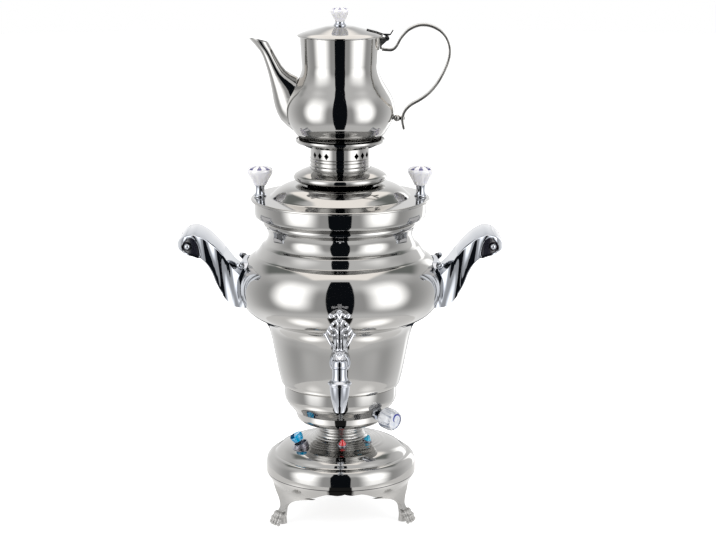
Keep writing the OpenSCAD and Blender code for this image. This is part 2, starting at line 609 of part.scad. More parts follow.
// Half depth of a handle along its reach
handle_half_line = [for (p = smooth([[-30, 6], [-12, 5.5], [-2, 3.5], [6, 1], [14, 0], [23, 1],
    [32, 3.5], [40, 5.5], [47, 6], [53, 4], [58, -1.5], [61, -11], [62.1, -25.4]], 3))
    [bulge_r + p[0] * (p[0] > 0 ? hx : 1), handle_half + p[1] * (p[1] < -20 ? handle_half / 25.5 : 1)]];
module handle_plan(t = 0) let (p = inset(reverse(handle_half_line), t))
    polygon(concat(p, [for (q = reverse(p)) [q[0], -q[1]]]));
// Tear-shaped pocket in the curled end, anticlockwise
pocket_loop = smooth_loop(grip_line([[37.4, 34.5], [44, 36.3], [50, 37.8], [54.6, 40.6], [55.6, 45.5],
    [52, 50.8], [47, 54], [42, 51.5], [38.6, 44.5]]), 3);
rod_at = grip_at(50, 45);
nut_y = handle_half + 0.8;

module handle_arm() intersection() {
    across(4 * handle_half) polygon(handle_outline);
    translate([0, 0, bulge_z - 60]) linear_extrude(160) handle_plan();
}
// The bulge grown by t
module bulge(t) {
    rotate_extrude($fn = round_fn) translate(bulge_c) circle(bulge_curve + t);
    translate([0, 0, bulge_z - 60]) cylinder(r = bulge_c[0], h = 120);
}
// Moulded foot that hugs the bulge, t thick
module handle_pad(w, h, r, z, t) intersection() {
    bulge(seat_gap + t);
    translate([bulge_c[0] + 15, 0, z]) rotate([90, 0, 90]) linear_extrude(80) rounded_rect(w, h, r);
}
module handle() difference() {
    union() {
        handle_arm();
        handle_pad(62, 45, 12, bulge_z + 3.5, pad_t);
        handle_pad(54, 33, 9, bulge_z - 0.5, pad_t + 3.2);
    }
    bulge(seat_gap);
    across(8 * handle_half) polygon(pocket_loop);
    at_studs() translate([0, 0, -1]) cylinder(r = stud_r + 0.25, h = 20);
    at_studs() translate([0, 0, seat_gap + pad_t]) cylinder(r = 4.6, h = 20);
}
module grip() difference() {
    intersection() {
        across(8 * handle_half) polygon(inset_loop(pocket_loop, fit_gap));
        translate([0, 0, bulge_z - 60]) linear_extrude(160) handle_plan(2);
    }
    translate([rod_at[0], 0, rod_at[1]]) rotate([90, 0, 0]) {
        cylinder(r = rod_r + fit_gap, h = 8 * handle_half, center = true);
        for (s = [0, 1]) mirror([0, 0, s]) translate([0, 0, nut_y]) cylinder(r = 4.6, h = 20);
    }
}
module handle_left() color("silver") mirror([1, 0, 0]) handle();
module handle_right() color("silver") handle();
module handle_left_grip() color("#15151c") mirror([1, 0, 0]) grip();
module handle_right_grip() color("#15151c") grip();
module handle_rods() color("gray") both_sides() translate([rod_at[0], 0, rod_at[1]])
    rotate([90, 0, 0]) cylinder(r = rod_r, h = 2 * nut_y + 5, center = true);
module handle_cap_nuts() color("silver") both_sides() for (s = [0, 1]) mirror([0, s, 0])
    translate([rod_at[0], -nut_y - eps, rod_at[1]]) rotate([90, 0, 0]) acorn_nut(4, rod_r + 0.1, 3);
module handle_root_nuts() color("silver") at_studs() translate([0, 0, seat_gap + pad_t])
    acorn_nut(3.9, stud_r + 0.1, 3.2);

// ---- tap ----

plug_top_z = tap_z + 10;
plug_low_z = tap_z - 8;
plug_top_r = water_r + 2.3;
plug_low_r = water_r + 1.3;
nozzle_line = concat([[water_r + 0.8, tap_z - 40]],
    smooth([[water_r + 1.2, tap_z - 39], [water_r + 3.2, tap_z - 31], [water_r + 5.8, tap_z - 21],
        [water_r + 8, tap_z - 12.2]]),
    arc([water_r + 7.4, tap_z - 9.8], 1.6, -60, 75, 6),
    smooth([[water_r + 6.8, tap_z - 7.4], [water_r + 5.1, tap_z - 5.6], [water_r + 4.5, tap_z - 2.6],
        [water_r + 4.5, tap_z + 5.6]], 3),
    [[water_r + 3.4, tap_z + 5.7], [water_r + 3.4, plug_top_z]]);
// Shank, along its way to the tank; its flange bears on the rosette
rose_y = 88;           // distance of the rosette's face from the tank's axis
flange_y = tap_y - rose_y - 0.05;
shank_end = tap_y - waist_r + 17.7;
shank_line = [[0, 0], [water_r + 2.6, 0], [water_r + 2.6, flange_y / 3], [water_r + 2.9, 0.67 * flange_y],
    [water_r + 3.6, flange_y - 4], [8.2, flange_y - 2.4], [8.2, flange_y], [tap_hole_r - 0.2, flange_y],
    [tap_hole_r - 0.2, shank_end], [0, shank_end]];
module at_tap() translate([0, -tap_y, 0]) children();
module tap_body() color("silver") at_tap() difference() {
    union() {
        revolve(concat([[0, nozzle_line[0][1]]], nozzle_line, [[0, plug_top_z]]), $fn);
        translate([0, 0, tap_z]) rotate([-90, 0, 0]) revolve(shank_line, $fn);
    }
    // tapered seat of the plug, outlet and waterway
    translate([0, 0, plug_low_z]) cylinder(r1 = plug_low_r, r2 = plug_top_r, h = plug_top_z - plug_low_z);
    translate([0, 0, plug_top_z - eps]) cylinder(r = plug_top_r, h = 1);
    translate([0, 0, tap_z - 50]) cylinder(r = water_r, h = 50);
    translate([0, 0, tap_z]) rotate([-90, 0, 0]) cylinder(r = water_r, h = tap_y);
}
// Turned rosette between the shank's shoulder and the tank
module tap_escutcheon() color("silver") difference() {
    translate([0, -rose_y, tap_z]) rotate([-90, 0, 0]) difference() {
        revolve([[tap_hole_r + 1.6, 0], [8.6, 0], [9.2, 1.4], [8.6, 2.4], [9.6, 3.2], [10.75, 5], [10.75, 7],
            [10.75, 22], [0, 22], [0, 0.6]], $fn);
        translate([0, 0, -1]) cylinder(r = tap_hole_r, h = 30);
    }
    within(tank_line, skin_gap);
}
module tap_seal() color("black") intersection() {
    facing_front(waist_r, tap_z) translate([0, 0, -12]) ring(9.4, tap_hole_r, 12);
    revolve(concat([[0, tank_z + 5]], inset(tank_line, sheet_t + skin_gap), [[0, rim_z]]));
}
seal_y = waist_r - 12;
module tap_nut() color("gold") facing_front(seal_y - 4, tap_z) hex_nut(9.6, tap_hole_r - 0.1, 4);
module tap_bonnet() color("silver") at_tap() difference() {
    revolve(concat([[0, tap_z + 6], [water_r + 4.6, tap_z + 6]],
        arc([water_r + 4.6, tap_z + 7.2], 0.9, -60, 60, 6), [[water_r + 4.5, tap_z + 9],
        [water_r + 4.5, tap_z + 12.4], [water_r + 3.7, tap_z + 13.6], [0, tap_z + 13.6]]), $fn);
    cylinder(r = water_r + 3.5, h = plug_top_z + 2);
    cylinder(r = water_r + 2.8, h = tap_z + 20);
}
stem_top_z = plug_top_z + 13.6;
key_z = stem_top_z + 1.15 * key_r;
key_stem_line = concat([[0, plug_top_z + 1], [water_r + 2.7, plug_top_z + 1], [water_r + 2.7, plug_top_z + 4.2]],
    smooth([[water_r + 3.7, plug_top_z + 4.8], [water_r + 3.8, plug_top_z + 5.8], [water_r + 2.6, plug_top_z + 7.4],
        [water_r + 1.6, plug_top_z + 9.2], [water_r + 1.5, plug_top_z + 10.6], [water_r + 2.2, stem_top_z - 1.4],
        [water_r + 2.8, stem_top_z - 0.5]], 3),
    [[water_r + 2.2, stem_top_z], [0, stem_top_z]]);
// Half of the key's lozenge-shaped ring, as shares of its half width
lozenge = [[0.3, 1.08], [0.62, 0.78], [0.86, 0.4], [1, 0.04], [0.86, -0.4], [0.6, -0.8], [0.3, -1.12]];
key_loop = smooth_loop(key_r * concat([[0, -1.24]], reverse(lozenge), [[0, 1.2]], mirror_x(reverse(lozenge))), 3);
module key_outline() {
    translate([0, key_z]) difference() {
        polygon(key_loop);
        polygon(inset_loop(key_loop, 2.7));
    }
    for (s = [-1, 1]) {
        translate([s * 1.9 - 0.9, key_z - key_r]) square([1.8, 2 * key_r]);
        translate([s * 0.46 * key_r, key_z + 0.22 * key_r]) difference() {
            circle(0.32 * key_r);
            circle(0.19 * key_r);
        }
        translate([s * (key_r + 0.5), key_z]) circle(1.8);
        // outer lobes of the crown
        translate([s * 8.6, key_z + key_r + 5.2]) circle(2.5);
    }
    translate([-4, stem_top_z - 1]) square([8, 3]);
    translate([-2, key_z + key_r - 1]) square([4, 9]);
    intersection() {
        translate([0, key_z + key_r - 3]) difference() {
            circle(11.4);
            circle(8.8);
        }
        translate([-12, key_z + key_r + 3.6]) square([24, 20]);
    }
    translate([0, key_z + key_r + 9]) circle(2.8);
}
module tap_key() color("silver") at_tap() difference() {
    union() {
        translate([0, 0, plug_low_z + 0.6]) cylinder(r1 = plug_low_r + (plug_top_r - plug_low_r) / 30 - plug_gap,
            r2 = plug_top_r - plug_gap, h = plug_top_z - plug_low_z - 0.6);
        translate([0, 0, plug_top_z - eps]) cylinder(r = plug_top_r - plug_gap, h = 0.4);
        translate([0, 0, plug_top_z + seat_gap]) cylinder(r = water_r + 3.2, h = 1.4);
        revolve(key_stem_line, $fn);
        across(key_t) key_outline();
    }
    // port: in at the side, out at the foot
    translate([0, 0, tap_z]) rotate([0, 90, 0]) cylinder(r = water_r - 0.4, h = 20);
    translate([0, 0, plug_low_z - 2]) cylinder(r = water_r - 0.4, h = tap_z - plug_low_z + 2);
}

// ---- lid ----

// Point of the lid's dome: f from the chimney's seat to the dome's foot, h over the flange
function lid_at(f, h) = [flue_r + 7.5 + f * (lid_r - flue_r - 23.5), flange_z + h * lid_h];
lid_line = concat(
    smooth([[lid_r - 0.4, flange_z - 3.4], [lid_r, flange_z - 2.2], [lid_r - 0.3, flange_z - 1],
        [lid_r - 1.2, flange_z - 0.2], [lid_r - 2.6, flange_z]], 3),
    smooth([lid_at(1, 0), lid_at(0.92, 0.15), lid_at(0.879, 0.42), lid_at(0.814, 0.62), lid_at(0.659, 0.83),
        lid_at(0.432, 0.96), lid_at(0.173, 1.02), lid_at(0, 1)]),
    [[lid_hole_r, lid_top_z]]);
knob_stud_r = 1.5;
knob_x = lid_r - 9.7;   // clears the tank's rim with the nut under the lid
module at_knobs() for (s = [-1, 1]) translate([s * knob_x, 0, flange_z]) children();
module lid_shell() color("gainsboro") difference() {
    spun(lid_line, lid_t);
    at_knobs() translate([0, 0, -5]) cylinder(r = knob_stud_r + fit_gap, h = 10);
}
collar_line = concat([[flue_r + 4.5, lid_top_z], [flue_r + 7, lid_top_z]],
    smooth([[flue_r + 9.5, lid_top_z + 1.4], [flue_r + 14, lid_top_z + 2], [flue_r + 16.7, lid_top_z + 4],
        [flue_r + 16.4, lid_top_z + 6.6], [flue_r + 14, lid_top_z + 9.4], [flue_r + 9.5, lid_top_z + 12.4],
        [flue_r + 6.5, lid_top_z + 13.6], [flue_r + 3, lid_top_z + 15], [flue_r + 0.2, lid_top_z + 15.8]], 3));
module lid_collar() color("silver") spun(collar_line, 0.9);
flue_line = concat([[flue_r + 4, lid_top_z], [flue_r + 4, lid_top_z + 0.9], [flue_r + 1, lid_top_z + 1],
    [flue_r, lid_top_z + 2]],
    [for (z = [18, 22.5, 25.5]) each [[flue_r, lid_top_z + z], [flue_r + 0.6, lid_top_z + z + 0.7],
        [flue_r, lid_top_z + z + 1.4]]],
    [[flue_r, saucer_z]]);
vent_z = saucer_z - 6.6;
vent_turn = 3;
module chimney() color("gainsboro") difference() {
    revolve(concat(flue_line, [[flue_r - 1, saucer_z], [flue_r - 1, lid_top_z]]));
    for (a = [45, 135, 225, 315]) for (b = [-15, 0, 15]) rotate([0, 0, a + b + vent_turn])
        facing_front(flue_r + 10, vent_z) translate([0, 0, -20]) linear_extrude(20)
            polygon([[0, -vent_h / 2], [0.39 * vent_h, 0], [0, vent_h / 2], [-0.39 * vent_h, 0]]);
}
saucer_line = concat([[lid_hole_r, saucer_z], [flue_r + 1.5, saucer_z]],
    smooth([[flue_r + 5.5, saucer_z + 1.2], [pot_foot_r - 2, saucer_z + 3.6],
        [pot_foot_r + 0.8, saucer_z + 4.2], [pot_foot_r + 2.6, saucer_z + 5], [pot_foot_r + 3.5, saucer_z + 6.6],
        [pot_foot_r + 3.4, saucer_z + 8.4]], 3));
module teapot_saucer() color("silver") spun(saucer_line, 1);

stem_h = 13.5;
module lid_knob_stems() color("silver") at_knobs() {
    revolve(concat([[0, 0], [6.5, 0], [6.5, 0.9]], smooth([[5.6, 1.8], [4.6, 4.5], [4.7, 9], [5.8, 12.4]]),
        [[6.1, stem_h], [0, stem_h]]), $fn);
    translate([0, 0, -lid_t - 4.4]) cylinder(r = knob_stud_r, h = lid_t + 6);
}
module porcelain(r, h) revolve(concat([[0, 0], [0.49 * r, 0]],
    smooth([[0.52 * r, 0.03 * h], [0.66 * r, 0.22 * h], [0.88 * r, 0.5 * h], [0.99 * r, 0.7 * h], [r, 0.78 * h],
        [0.93 * r, 0.86 * h], [0.75 * r, 0.93 * h], [0.4 * r, 0.99 * h]]), [[0, h]]), $fn);
module lid_knobs() color("white") at_knobs() translate([0, 0, stem_h]) porcelain(knob_r, 15);
module lid_knob_nuts() color("gold") at_knobs() translate([0, 0, -lid_t - 2.8])
    hex_nut(3.2, knob_stud_r + 0.1, 2.8);

// ---- teapot ----

function pot_at(r, h) = [r, pot_z + h];
pot_line = concat([pot_at(0, 1.9), pot_at(pot_foot_r - 6.8, 1.9), pot_at(pot_foot_r - 4.5, 0),
    pot_at(pot_foot_r - 0.9, 0), pot_at(pot_foot_r, 1), pot_at(pot_foot_r + 0.2, 4.7)],
    smooth([pot_at(pot_foot_r + 0.8, 6.2), pot_at(pot_belly_r - 7.9, 9.7), pot_at(pot_belly_r - 5.3, 13.7),
        pot_at(pot_belly_r - 2.9, 18), pot_at(pot_belly_r - 0.7, 24.7), pot_at(pot_belly_r, 32.7),
        pot_at(pot_belly_r - 0.7, 41.2), pot_at(pot_belly_r - 2.9, 48.7), pot_at(pot_belly_r - 6.3, 55.4),
        pot_at(pot_neck_r + 3.7, 62.2), pot_at(pot_neck_r + 1.5, 69.2), pot_at(pot_neck_r + 0.2, 75.7),
        pot_at(pot_neck_r, 82)]),
    [pot_at(pot_neck_r, pot_h)]);
module pot_body() color("gainsboro") difference() {
    spun(pot_line, pot_t);
    // strainer holes behind the spout
    for (j = [-2 : 2]) for (i = [-1.5 + abs(j % 2) / 2 : 1.5]) translate([-pot_belly_r - 5, 6.4 * i, pot_z + 36 + 5.6 * j])
        rotate([0, 90, 0]) cylinder(r = 2, h = 30, $fn = 24);
}

// Rings of the spout: outer and inner edge in X from the belly's side and height over the
// pot's foot, half width
spout_rings = [[-38.8, 107, -18.6, 102.7, 7], [-27.5, 94, -14.1, 94.6, 6.6], [-22.6, 82.7, -8, 84, 7.8],
    [-18.1, 66.7, -0.8, 73.8, 9.6], [-15.1, 50.7, 10.6, 67.3, 12.4], [-12.6, 36.7, 20.9, 62, 14.8],
    [-6.6, 22.7, 26.9, 50, 16.2], [6.1, 11.2, 30.9, 36, 16.6]];
spout_n = 20;
function spout_ring(q, t) = let (o = [q[0], q[1]], i = [q[2], q[3]], c = (o + i) / 2,
    u = (o - i) / 2 - t * unit(o - i), b = q[4] - t)
    [for (k = [0 : spout_n - 1]) let (a = 360 * k / spout_n)
        [c[0] + u[0] * cos(a) - pot_belly_r, b * sin(a), pot_z + c[1] + u[1] * cos(a)]];
spout_fine = smooth(spout_rings, 2);
module pot_spout() color("gainsboro") difference() {
    loft([for (q = spout_fine) spout_ring(q, 0)]);
    loft(concat([spout_ring(spout_fine[0] + [-2.4, 3.6, -2.4, 3.6, 0], 0.9)],
        [for (q = spout_fine) spout_ring(q, 0.9)],
        [spout_ring(last(spout_fine) + [4, -4, 4, -4, 0], 0.9)]));
    within(pot_line, skin_gap);
}

hinge_x = pot_neck_r + 6.7;
hinge_z = pot_top_z - 1.4;
module at_hinge() translate([hinge_x, 0, hinge_z]) rotate([90, 0, 0]) children();
leaf_w = 8;
ear_w = 2.4;
module pot_bracket() color("silver") difference() {
    union() {
        intersection() {
            translate([0, 0, pot_top_z - 12.4]) ring(pot_neck_r + 1.7, pot_neck_r + skin_gap, 11.6);
            translate([pot_neck_r - 4, -leaf_w / 2 - 0.3 - ear_w, 0]) cube([12, leaf_w + 0.6 + 2 * ear_w, 2 * pot_top_z]);
        }
        for (s = [-1, 1]) translate([0, s * (leaf_w / 2 + 0.3 + ear_w / 2), 0]) {
            across(ear_w) polygon([[pot_neck_r + 1.2, pot_top_z - 9], [pot_neck_r + 1.2, pot_top_z - 0.9],
                [pot_neck_r + 3.4, pot_top_z - 0.9], [hinge_x, hinge_z - 0.8 * barrel_r + 1], [hinge_x, hinge_z - barrel_r]]);
            translate([hinge_x, 0, hinge_z]) rotate([90, 0, 0]) cylinder(r = barrel_r, h = ear_w, center = true);
        }
    }
    at_hinge() cylinder(r = pin_r + 0.03, h = 40, center = true);
}
module pot_hinge_pin() color("gray") at_hinge() cylinder(r = pin_r, h = leaf_w + 0.6 + 2 * ear_w + 1.2, center = true);

// Middle line of the handle strip, as X beyond the neck and height over the pot's foot; its
// lower end follows the belly
belly_out = pot_belly_r - pot_neck_r - 13.6;
strip_path = smooth([for (p = [[1.9, 95.6], [7, 95.1], [12.5, 95.3], [16.8, 99.1], [21.1, 107], [28.2, 114.9],
    [36.8, 119.5], [45.4, 120.6], [54, 118.7], [62.7, 113.4], [68.6, 105.5], [71.3, 95.5], [70.3, 85.4],
    [66.1, 73.8], [58.9, 60.8], [50.3, 50.6], [41.7, 44.1], [31.7, 38.3], [25.9, 32.4], [23.3, 25.8],
    [23.1, 20.1], [24.6, 13.4]]) [pot_neck_r + p[0] + belly_out * max(0, min(1, (95 - p[1]) / 60)), pot_z + p[1]]], 4);
rivet_z = pot_z + 24.3;
rivet_x = pot_belly_r + 9.6;
module pot_handle() color("silver") difference() {
    across(strip_w) polygon(concat(inset(strip_path, -strip_t / 2), reverse(inset(strip_path, strip_t / 2))));
    translate([rivet_x - 10, 0, rivet_z]) rotate([0, 90, 0]) cylinder(r = 1.6, h = 20);
}
module pot_handle_rivet() color("silver") translate([0, 0, rivet_z]) difference() {
    union() {
        translate([pot_belly_r - 5, 0, 0]) rotate([0, 90, 0]) cylinder(r = 1.5, h = rivet_x - pot_belly_r + 7);
        translate([pot_belly_r + 3.7, 0, 0]) sphere(3.6);
        translate([rivet_x - 3, 0, 0]) rotate([0, 90, 0]) cylinder(r = 2.4, h = 1.9);
        translate([rivet_x + 1.2, 0, 0]) rotate([0, 90, 0]) cylinder(r1 = 2.6, r2 = 1.6, h = 1.1);
    }
    translate([0, 0, -rivet_z]) within(pot_line, skin_gap);
}

pot_lid_r = pot_neck_r + 2.9;
pot_lid_z = pot_top_z + seat_gap;
plug_r = pot_neck_r - pot_t - 0.6;
module pot_lid() color("gainsboro") revolve([[0, pot_lid_z + 9.4], [13.8, pot_lid_z + 8.6],
    [plug_r - 0.9, pot_lid_z + 1.4], [plug_r - 0.9, pot_lid_z - 4.5], [plug_r, pot_lid_z - 4.5], [plug_r, pot_lid_z],
    [pot_lid_r - 0.6, pot_lid_z], [pot_lid_r, pot_lid_z + 0.7], [pot_lid_r - 0.5, pot_lid_z + 1.7],
    [0.86 * pot_lid_r, pot_lid_z + 3.9], [0.68 * pot_lid_r, pot_lid_z + 6], [0.5 * pot_lid_r, pot_lid_z + 8.1],
    [0.32 * pot_lid_r, pot_lid_z + 10.1], [0.12 * pot_lid_r, pot_lid_z + 11], [0, pot_lid_z + 11]]);
module pot_lid_leaf() color("silver") difference() {
    union() {
        across(leaf_w) polygon([[0.62 * pot_lid_r, pot_lid_z + 6.95], [0.86 * pot_lid_r, pot_lid_z + 4.15],
            [pot_lid_r - 0.4, pot_lid_z + 1.95], [hinge_x - 1, hinge_z + barrel_r - 0.6],
            [hinge_x + 4, hinge_z + barrel_r + 0.6], [hinge_x + 6.8, hinge_z + barrel_r + 5.4],
            [hinge_x + 5.9, hinge_z + barrel_r + 5.9], [hinge_x + 3.2, hinge_z + barrel_r + 1.8],
            [pot_lid_r, pot_lid_z + 3], [0.86 * pot_lid_r, pot_lid_z + 5.2], [0.62 * pot_lid_r, pot_lid_z + 8]]);
        at_hinge() cylinder(r = barrel_r, h = leaf_w, center = true);
    }
    at_hinge() cylinder(r = pin_r + 0.05, h = 40, center = true);
}
module pot_knob_stem() color("silver") translate([0, 0, pot_lid_z + 11])
    revolve(concat([[0, 0], [6.6, 0], [6.6, 0.8]], smooth([[5.6, 1.6], [4.9, 3.4], [5, 5.6], [5.8, 7.4]]),
        [[6, 8.2], [0, 8.2]]), $fn);
module pot_knob() color("white") translate([0, 0, pot_lid_z + 19.2]) porcelain(pot_knob_r, 10.7);

leg_skirt();
base_dome();
base_plate();
base_screws();
cord_grommet();
terminal_block();
stem_tube();
stem_nuts();
stem_leads();
red_lamp();
red_lamp_bezel();
blue_lamp();
blue_lamp_bezel();
switch_housing();
switch_rocker();
heater_bowl();
thermostat_body();
thermostat_bush();
thermostat_shaft();
thermostat_knob();
knob_disc();
thermal_cutout();
cutout_clip();
tank();
tank_nuts();
rim_band();
heating_element();
element_nuts();
element_seals();
handle_left();
handle_right();
handle_left_grip();
handle_right_grip();
handle_rods();
handle_cap_nuts();
handle_root_nuts();
tap_body();
tap_escutcheon();
tap_seal();
tap_nut();
tap_bonnet();
tap_key();
lid_shell();
lid_collar();
chimney();
teapot_saucer();
lid_knob_stems();
lid_knobs();
lid_knob_nuts();
pot_body();
pot_spout();
pot_handle();
pot_handle_rivet();
pot_bracket();
pot_hinge_pin();
pot_lid();
pot_lid_leaf();
pot_knob_stem();
pot_knob();
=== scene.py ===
import bpy
import bmesh
import json
from math import cos, pi, radians, sin, tan
from mathutils import Matrix, Vector


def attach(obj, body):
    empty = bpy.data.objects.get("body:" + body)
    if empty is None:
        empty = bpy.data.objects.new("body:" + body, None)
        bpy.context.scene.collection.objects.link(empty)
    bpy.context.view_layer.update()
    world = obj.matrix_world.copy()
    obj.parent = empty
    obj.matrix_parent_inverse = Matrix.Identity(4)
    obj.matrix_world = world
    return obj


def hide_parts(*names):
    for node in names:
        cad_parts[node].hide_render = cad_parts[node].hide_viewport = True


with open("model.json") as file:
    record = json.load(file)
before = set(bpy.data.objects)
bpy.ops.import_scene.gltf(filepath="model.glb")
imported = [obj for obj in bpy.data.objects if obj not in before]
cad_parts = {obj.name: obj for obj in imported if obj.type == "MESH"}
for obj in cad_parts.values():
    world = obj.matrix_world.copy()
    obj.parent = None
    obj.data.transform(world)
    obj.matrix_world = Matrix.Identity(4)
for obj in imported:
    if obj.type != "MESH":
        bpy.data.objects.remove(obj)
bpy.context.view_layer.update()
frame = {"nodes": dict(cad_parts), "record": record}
nodes = frame["nodes"]
behaviour = frame["record"]["behaviour"]
bodyOf = {name: body for body, names in behaviour["bodies"].items() for name in names}
jointOf = {joint["name"]: joint for joint in behaviour["joints"]}
slotOf = {name: node.data.materials[0].name for name, node in nodes.items()}
scene = bpy.context.scene
print("frame loaded:", len(nodes), "nodes")


cameraSettings = {"lens": 105.6, "sensor": 36, "place": (0.0184, -2.1536, 0.7382), "tilt": 77.6}


def makeCamera(settings):
    lensData = bpy.data.cameras.new("camera")
    lensData.lens = settings["lens"]
    lensData.sensor_width = settings["sensor"]
    camera = bpy.data.objects.new("camera", lensData)
    camera.location = settings["place"]
    camera.rotation_euler = (radians(settings["tilt"]), 0, 0)
    scene.collection.objects.link(camera)
    scene.camera = camera


makeCamera(cameraSettings)
scene.view_settings.view_transform = "Standard"
print("camera ready")


# a socket that takes part in ordinary sums
class Wire:
    def __init__(self, tree, socket):
        self.tree = tree
        self.socket = socket

    def sum(self, operation, other, turned=False):
        node = self.tree.nodes.new("ShaderNodeMath")
        node.operation = operation
        for socket, value in zip(node.inputs, (other, self) if turned else (self, other)):
            feed(self.tree, socket, value)
        return Wire(self.tree, node.outputs[0])

    def __add__(self, other):
        return self.sum("ADD", other)

    def __sub__(self, other):
        return self.sum("SUBTRACT", other)

    def __rsub__(self, other):
        return self.sum("SUBTRACT", other, True)

    def __mul__(self, other):
        return self.sum("MULTIPLY", other)

    def __truediv__(self, other):
        return self.sum("DIVIDE", other)

    __radd__ = __add__
    __rmul__ = __mul__


def feed(tree, socket, value):
    if isinstance(value, Wire):
        tree.links.new(value.socket, socket)
    elif value is not None:
        isColour = socket.type == "RGBA" and len(value) == 3
        socket.default_value = (*value, 1) if isColour else value


class Finish:
    def __init__(self, name, **constants):
        self.material = bpy.data.materials.new(name)
        self.material.use_nodes = True
        self.tree = self.material.node_tree
        self.shader = self.tree.nodes["Principled BSDF"]
        self.set(**constants)

    # constants and wires for the shader's sockets, with _ for a space
    def set(self, **values):
        for name, value in values.items():
            feed(self.tree, self.shader.inputs[name.replace("_", " ")], value)

    def node(self, kind, settings=None, sockets=None, output=0):
        new = self.tree.nodes.new("ShaderNode" + kind)
        for name, value in (settings or {}).items():
            setattr(new, name, value)
        for name, value in (sockets or {}).items():
            feed(self.tree, new.inputs[name], value)
        return Wire(self.tree, new.outputs[output])

    def maths(self, operation, *values):
        return self.node("Math", {"operation": operation}, dict(enumerate(values)))

    def place(self):
        return self.node("TexCoord", output="Object")

    def split(self, vector):
        axes = self.node("SeparateXYZ", sockets={0: vector})
        return [Wire(self.tree, axes.socket.node.outputs[i]) for i in range(3)]

    def join(self, x, y, z):
        return self.node("CombineXYZ", sockets={0: x, 1: y, 2: z})

    def noise(self, vector, scale, detail=2, roughness=0.5):
        return self.node("TexNoise", sockets={"Vector": vector, "Scale": scale, "Detail": detail,
                                              "Roughness": roughness})

    # spreads a value from one range over another, held at its ends
    def spread(self, value, low, high, toLow=0, toHigh=1, smooth=False):
        return self.node("MapRange", {"interpolation_type": "SMOOTHSTEP" if smooth else "LINEAR"},
                         {"Value": value, "From Min": low, "From Max": high,
                          "To Min": toLow, "To Max": toHigh})

    def mix(self, factor, first, second):
        new = self.tree.nodes.new("ShaderNodeMix")
        new.data_type = "RGBA"
        for name, value in (("Factor_Float", factor), ("A_Color", first), ("B_Color", second)):
            feed(self.tree, next(s for s in new.inputs if s.identifier == name), value)
        return Wire(self.tree, next(s for s in new.outputs if s.identifier == "Result_Color"))

    def bump(self, height, distance, strength=1):
        return self.node("Bump", sockets={"Height": height, "Distance": distance, "Strength": strength})

    # the wire is the whole surface, in place of the plain shader
    def setSurface(self, wire):
        feed(self.tree, self.tree.nodes["Material Output"].inputs["Surface"], wire)


# a new object from a bmesh, with its place in its mesh
def addObject(name, bm, material=None):
    mesh = bpy.data.meshes.new(name)
    bm.to_mesh(mesh)
    bm.free()
    if material:
        mesh.materials.append(material)
    made = bpy.data.objects.new(name, mesh)
    scene.collection.objects.link(made)
    return made


studio = {
    "middle": (0, 0, 0.28),
    "world": {"seen": 1.0, "light": 0.7},
    "floor": {"reach": 5, "colour": (0.56, 0.56, 0.56), "shade": (0.86, 0.86, 0.86), "lift": 0.78},
    "sheen": {"reach": 0.28, "low": -0.0005, "tint": (1, 0.99, 0.98), "bright": 1.15, "spotTurn": 55,
              "spotReach": 0.17, "spotSize": 0.1, "spotCore": 0.01, "spotGlow": 1.6,
              "shadeLean": 0.26, "shadeBlur": 0.003, "shadeGlow": 0.02},
    "tent": {"reach": 2.5, "low": -2.2, "high": 2.6, "level": 0.9, "middle": 0.6, "edge": 1.0,
             "back": 0.5, "backFrom": -0.2, "backTo": 1.9, "backTop": 2},
}
# direction from the front and height of each card's middle in degrees, its distance, its
# half width and half height in degrees, its brightness, tint, and share of its half that fades
cards = {
    "softLeft": {"turn": -55, "rise": 8, "far": 1.7, "wide": 31, "high": 47, "glow": 3.0,
                 "tint": (1, 1, 1), "fade": 0.85},
    "softRight": {"turn": 55, "rise": 8, "far": 1.7, "wide": 31, "high": 47, "glow": 3.0,
                  "tint": (1, 1, 1), "fade": 0.85},
    "flagFront": {"turn": 0, "rise": 3, "far": 1.6, "wide": 15.5, "high": 61, "glow": 0.012,
                  "tint": (0.6, 0.75, 1), "fade": 0.05},
    "softTop": {"turn": 0, "rise": 106, "far": 1.5, "wide": 30, "high": 40, "glow": 1.85,
                "tint": (1, 0.955, 0.91), "fade": 0.25},
    "wallLeft": {"turn": -128, "rise": 48, "far": 1.8, "wide": 20, "high": 20, "glow": 0.3,
                 "tint": (0.94, 1, 0.96), "fade": 0.6},
    "wallRight": {"turn": 128, "rise": 48, "far": 1.8, "wide": 20, "high": 20, "glow": 0.3,
                  "tint": (0.94, 1, 0.96), "fade": 0.6},
    "flagBack": {"turn": 180, "rise": -26, "far": 1.9, "wide": 14, "high": 17, "glow": 0.03,
                 "tint": (0.6, 0.75, 1), "fade": 0.2},
    "softBack": {"turn": 150, "rise": 0, "far": 1.8, "wide": 9, "high": 30, "glow": 2.4,
                 "tint": (1, 1, 1), "fade": 0.6},
}


# glow that fades to nothing towards the card's edges
def cardFinish(name, card):
    finish = Finish(name)
    u, v, _ = finish.split(finish.node("TexCoord", output="UV"))
    inside = [0.5 - finish.maths("ABSOLUTE", side - 0.5) for side in (u, v)]
    across, up = [finish.spread(edge, 0, 0.5 * card["fade"], smooth=True) for edge in inside]
    glow = finish.node("Emission", sockets={"Color": card["tint"], "Strength": card["glow"]})
    clear = finish.node("BsdfTransparent")
    finish.setSurface(finish.node("MixShader", sockets={0: across * up, 1: clear, 2: glow}))
    return finish.material


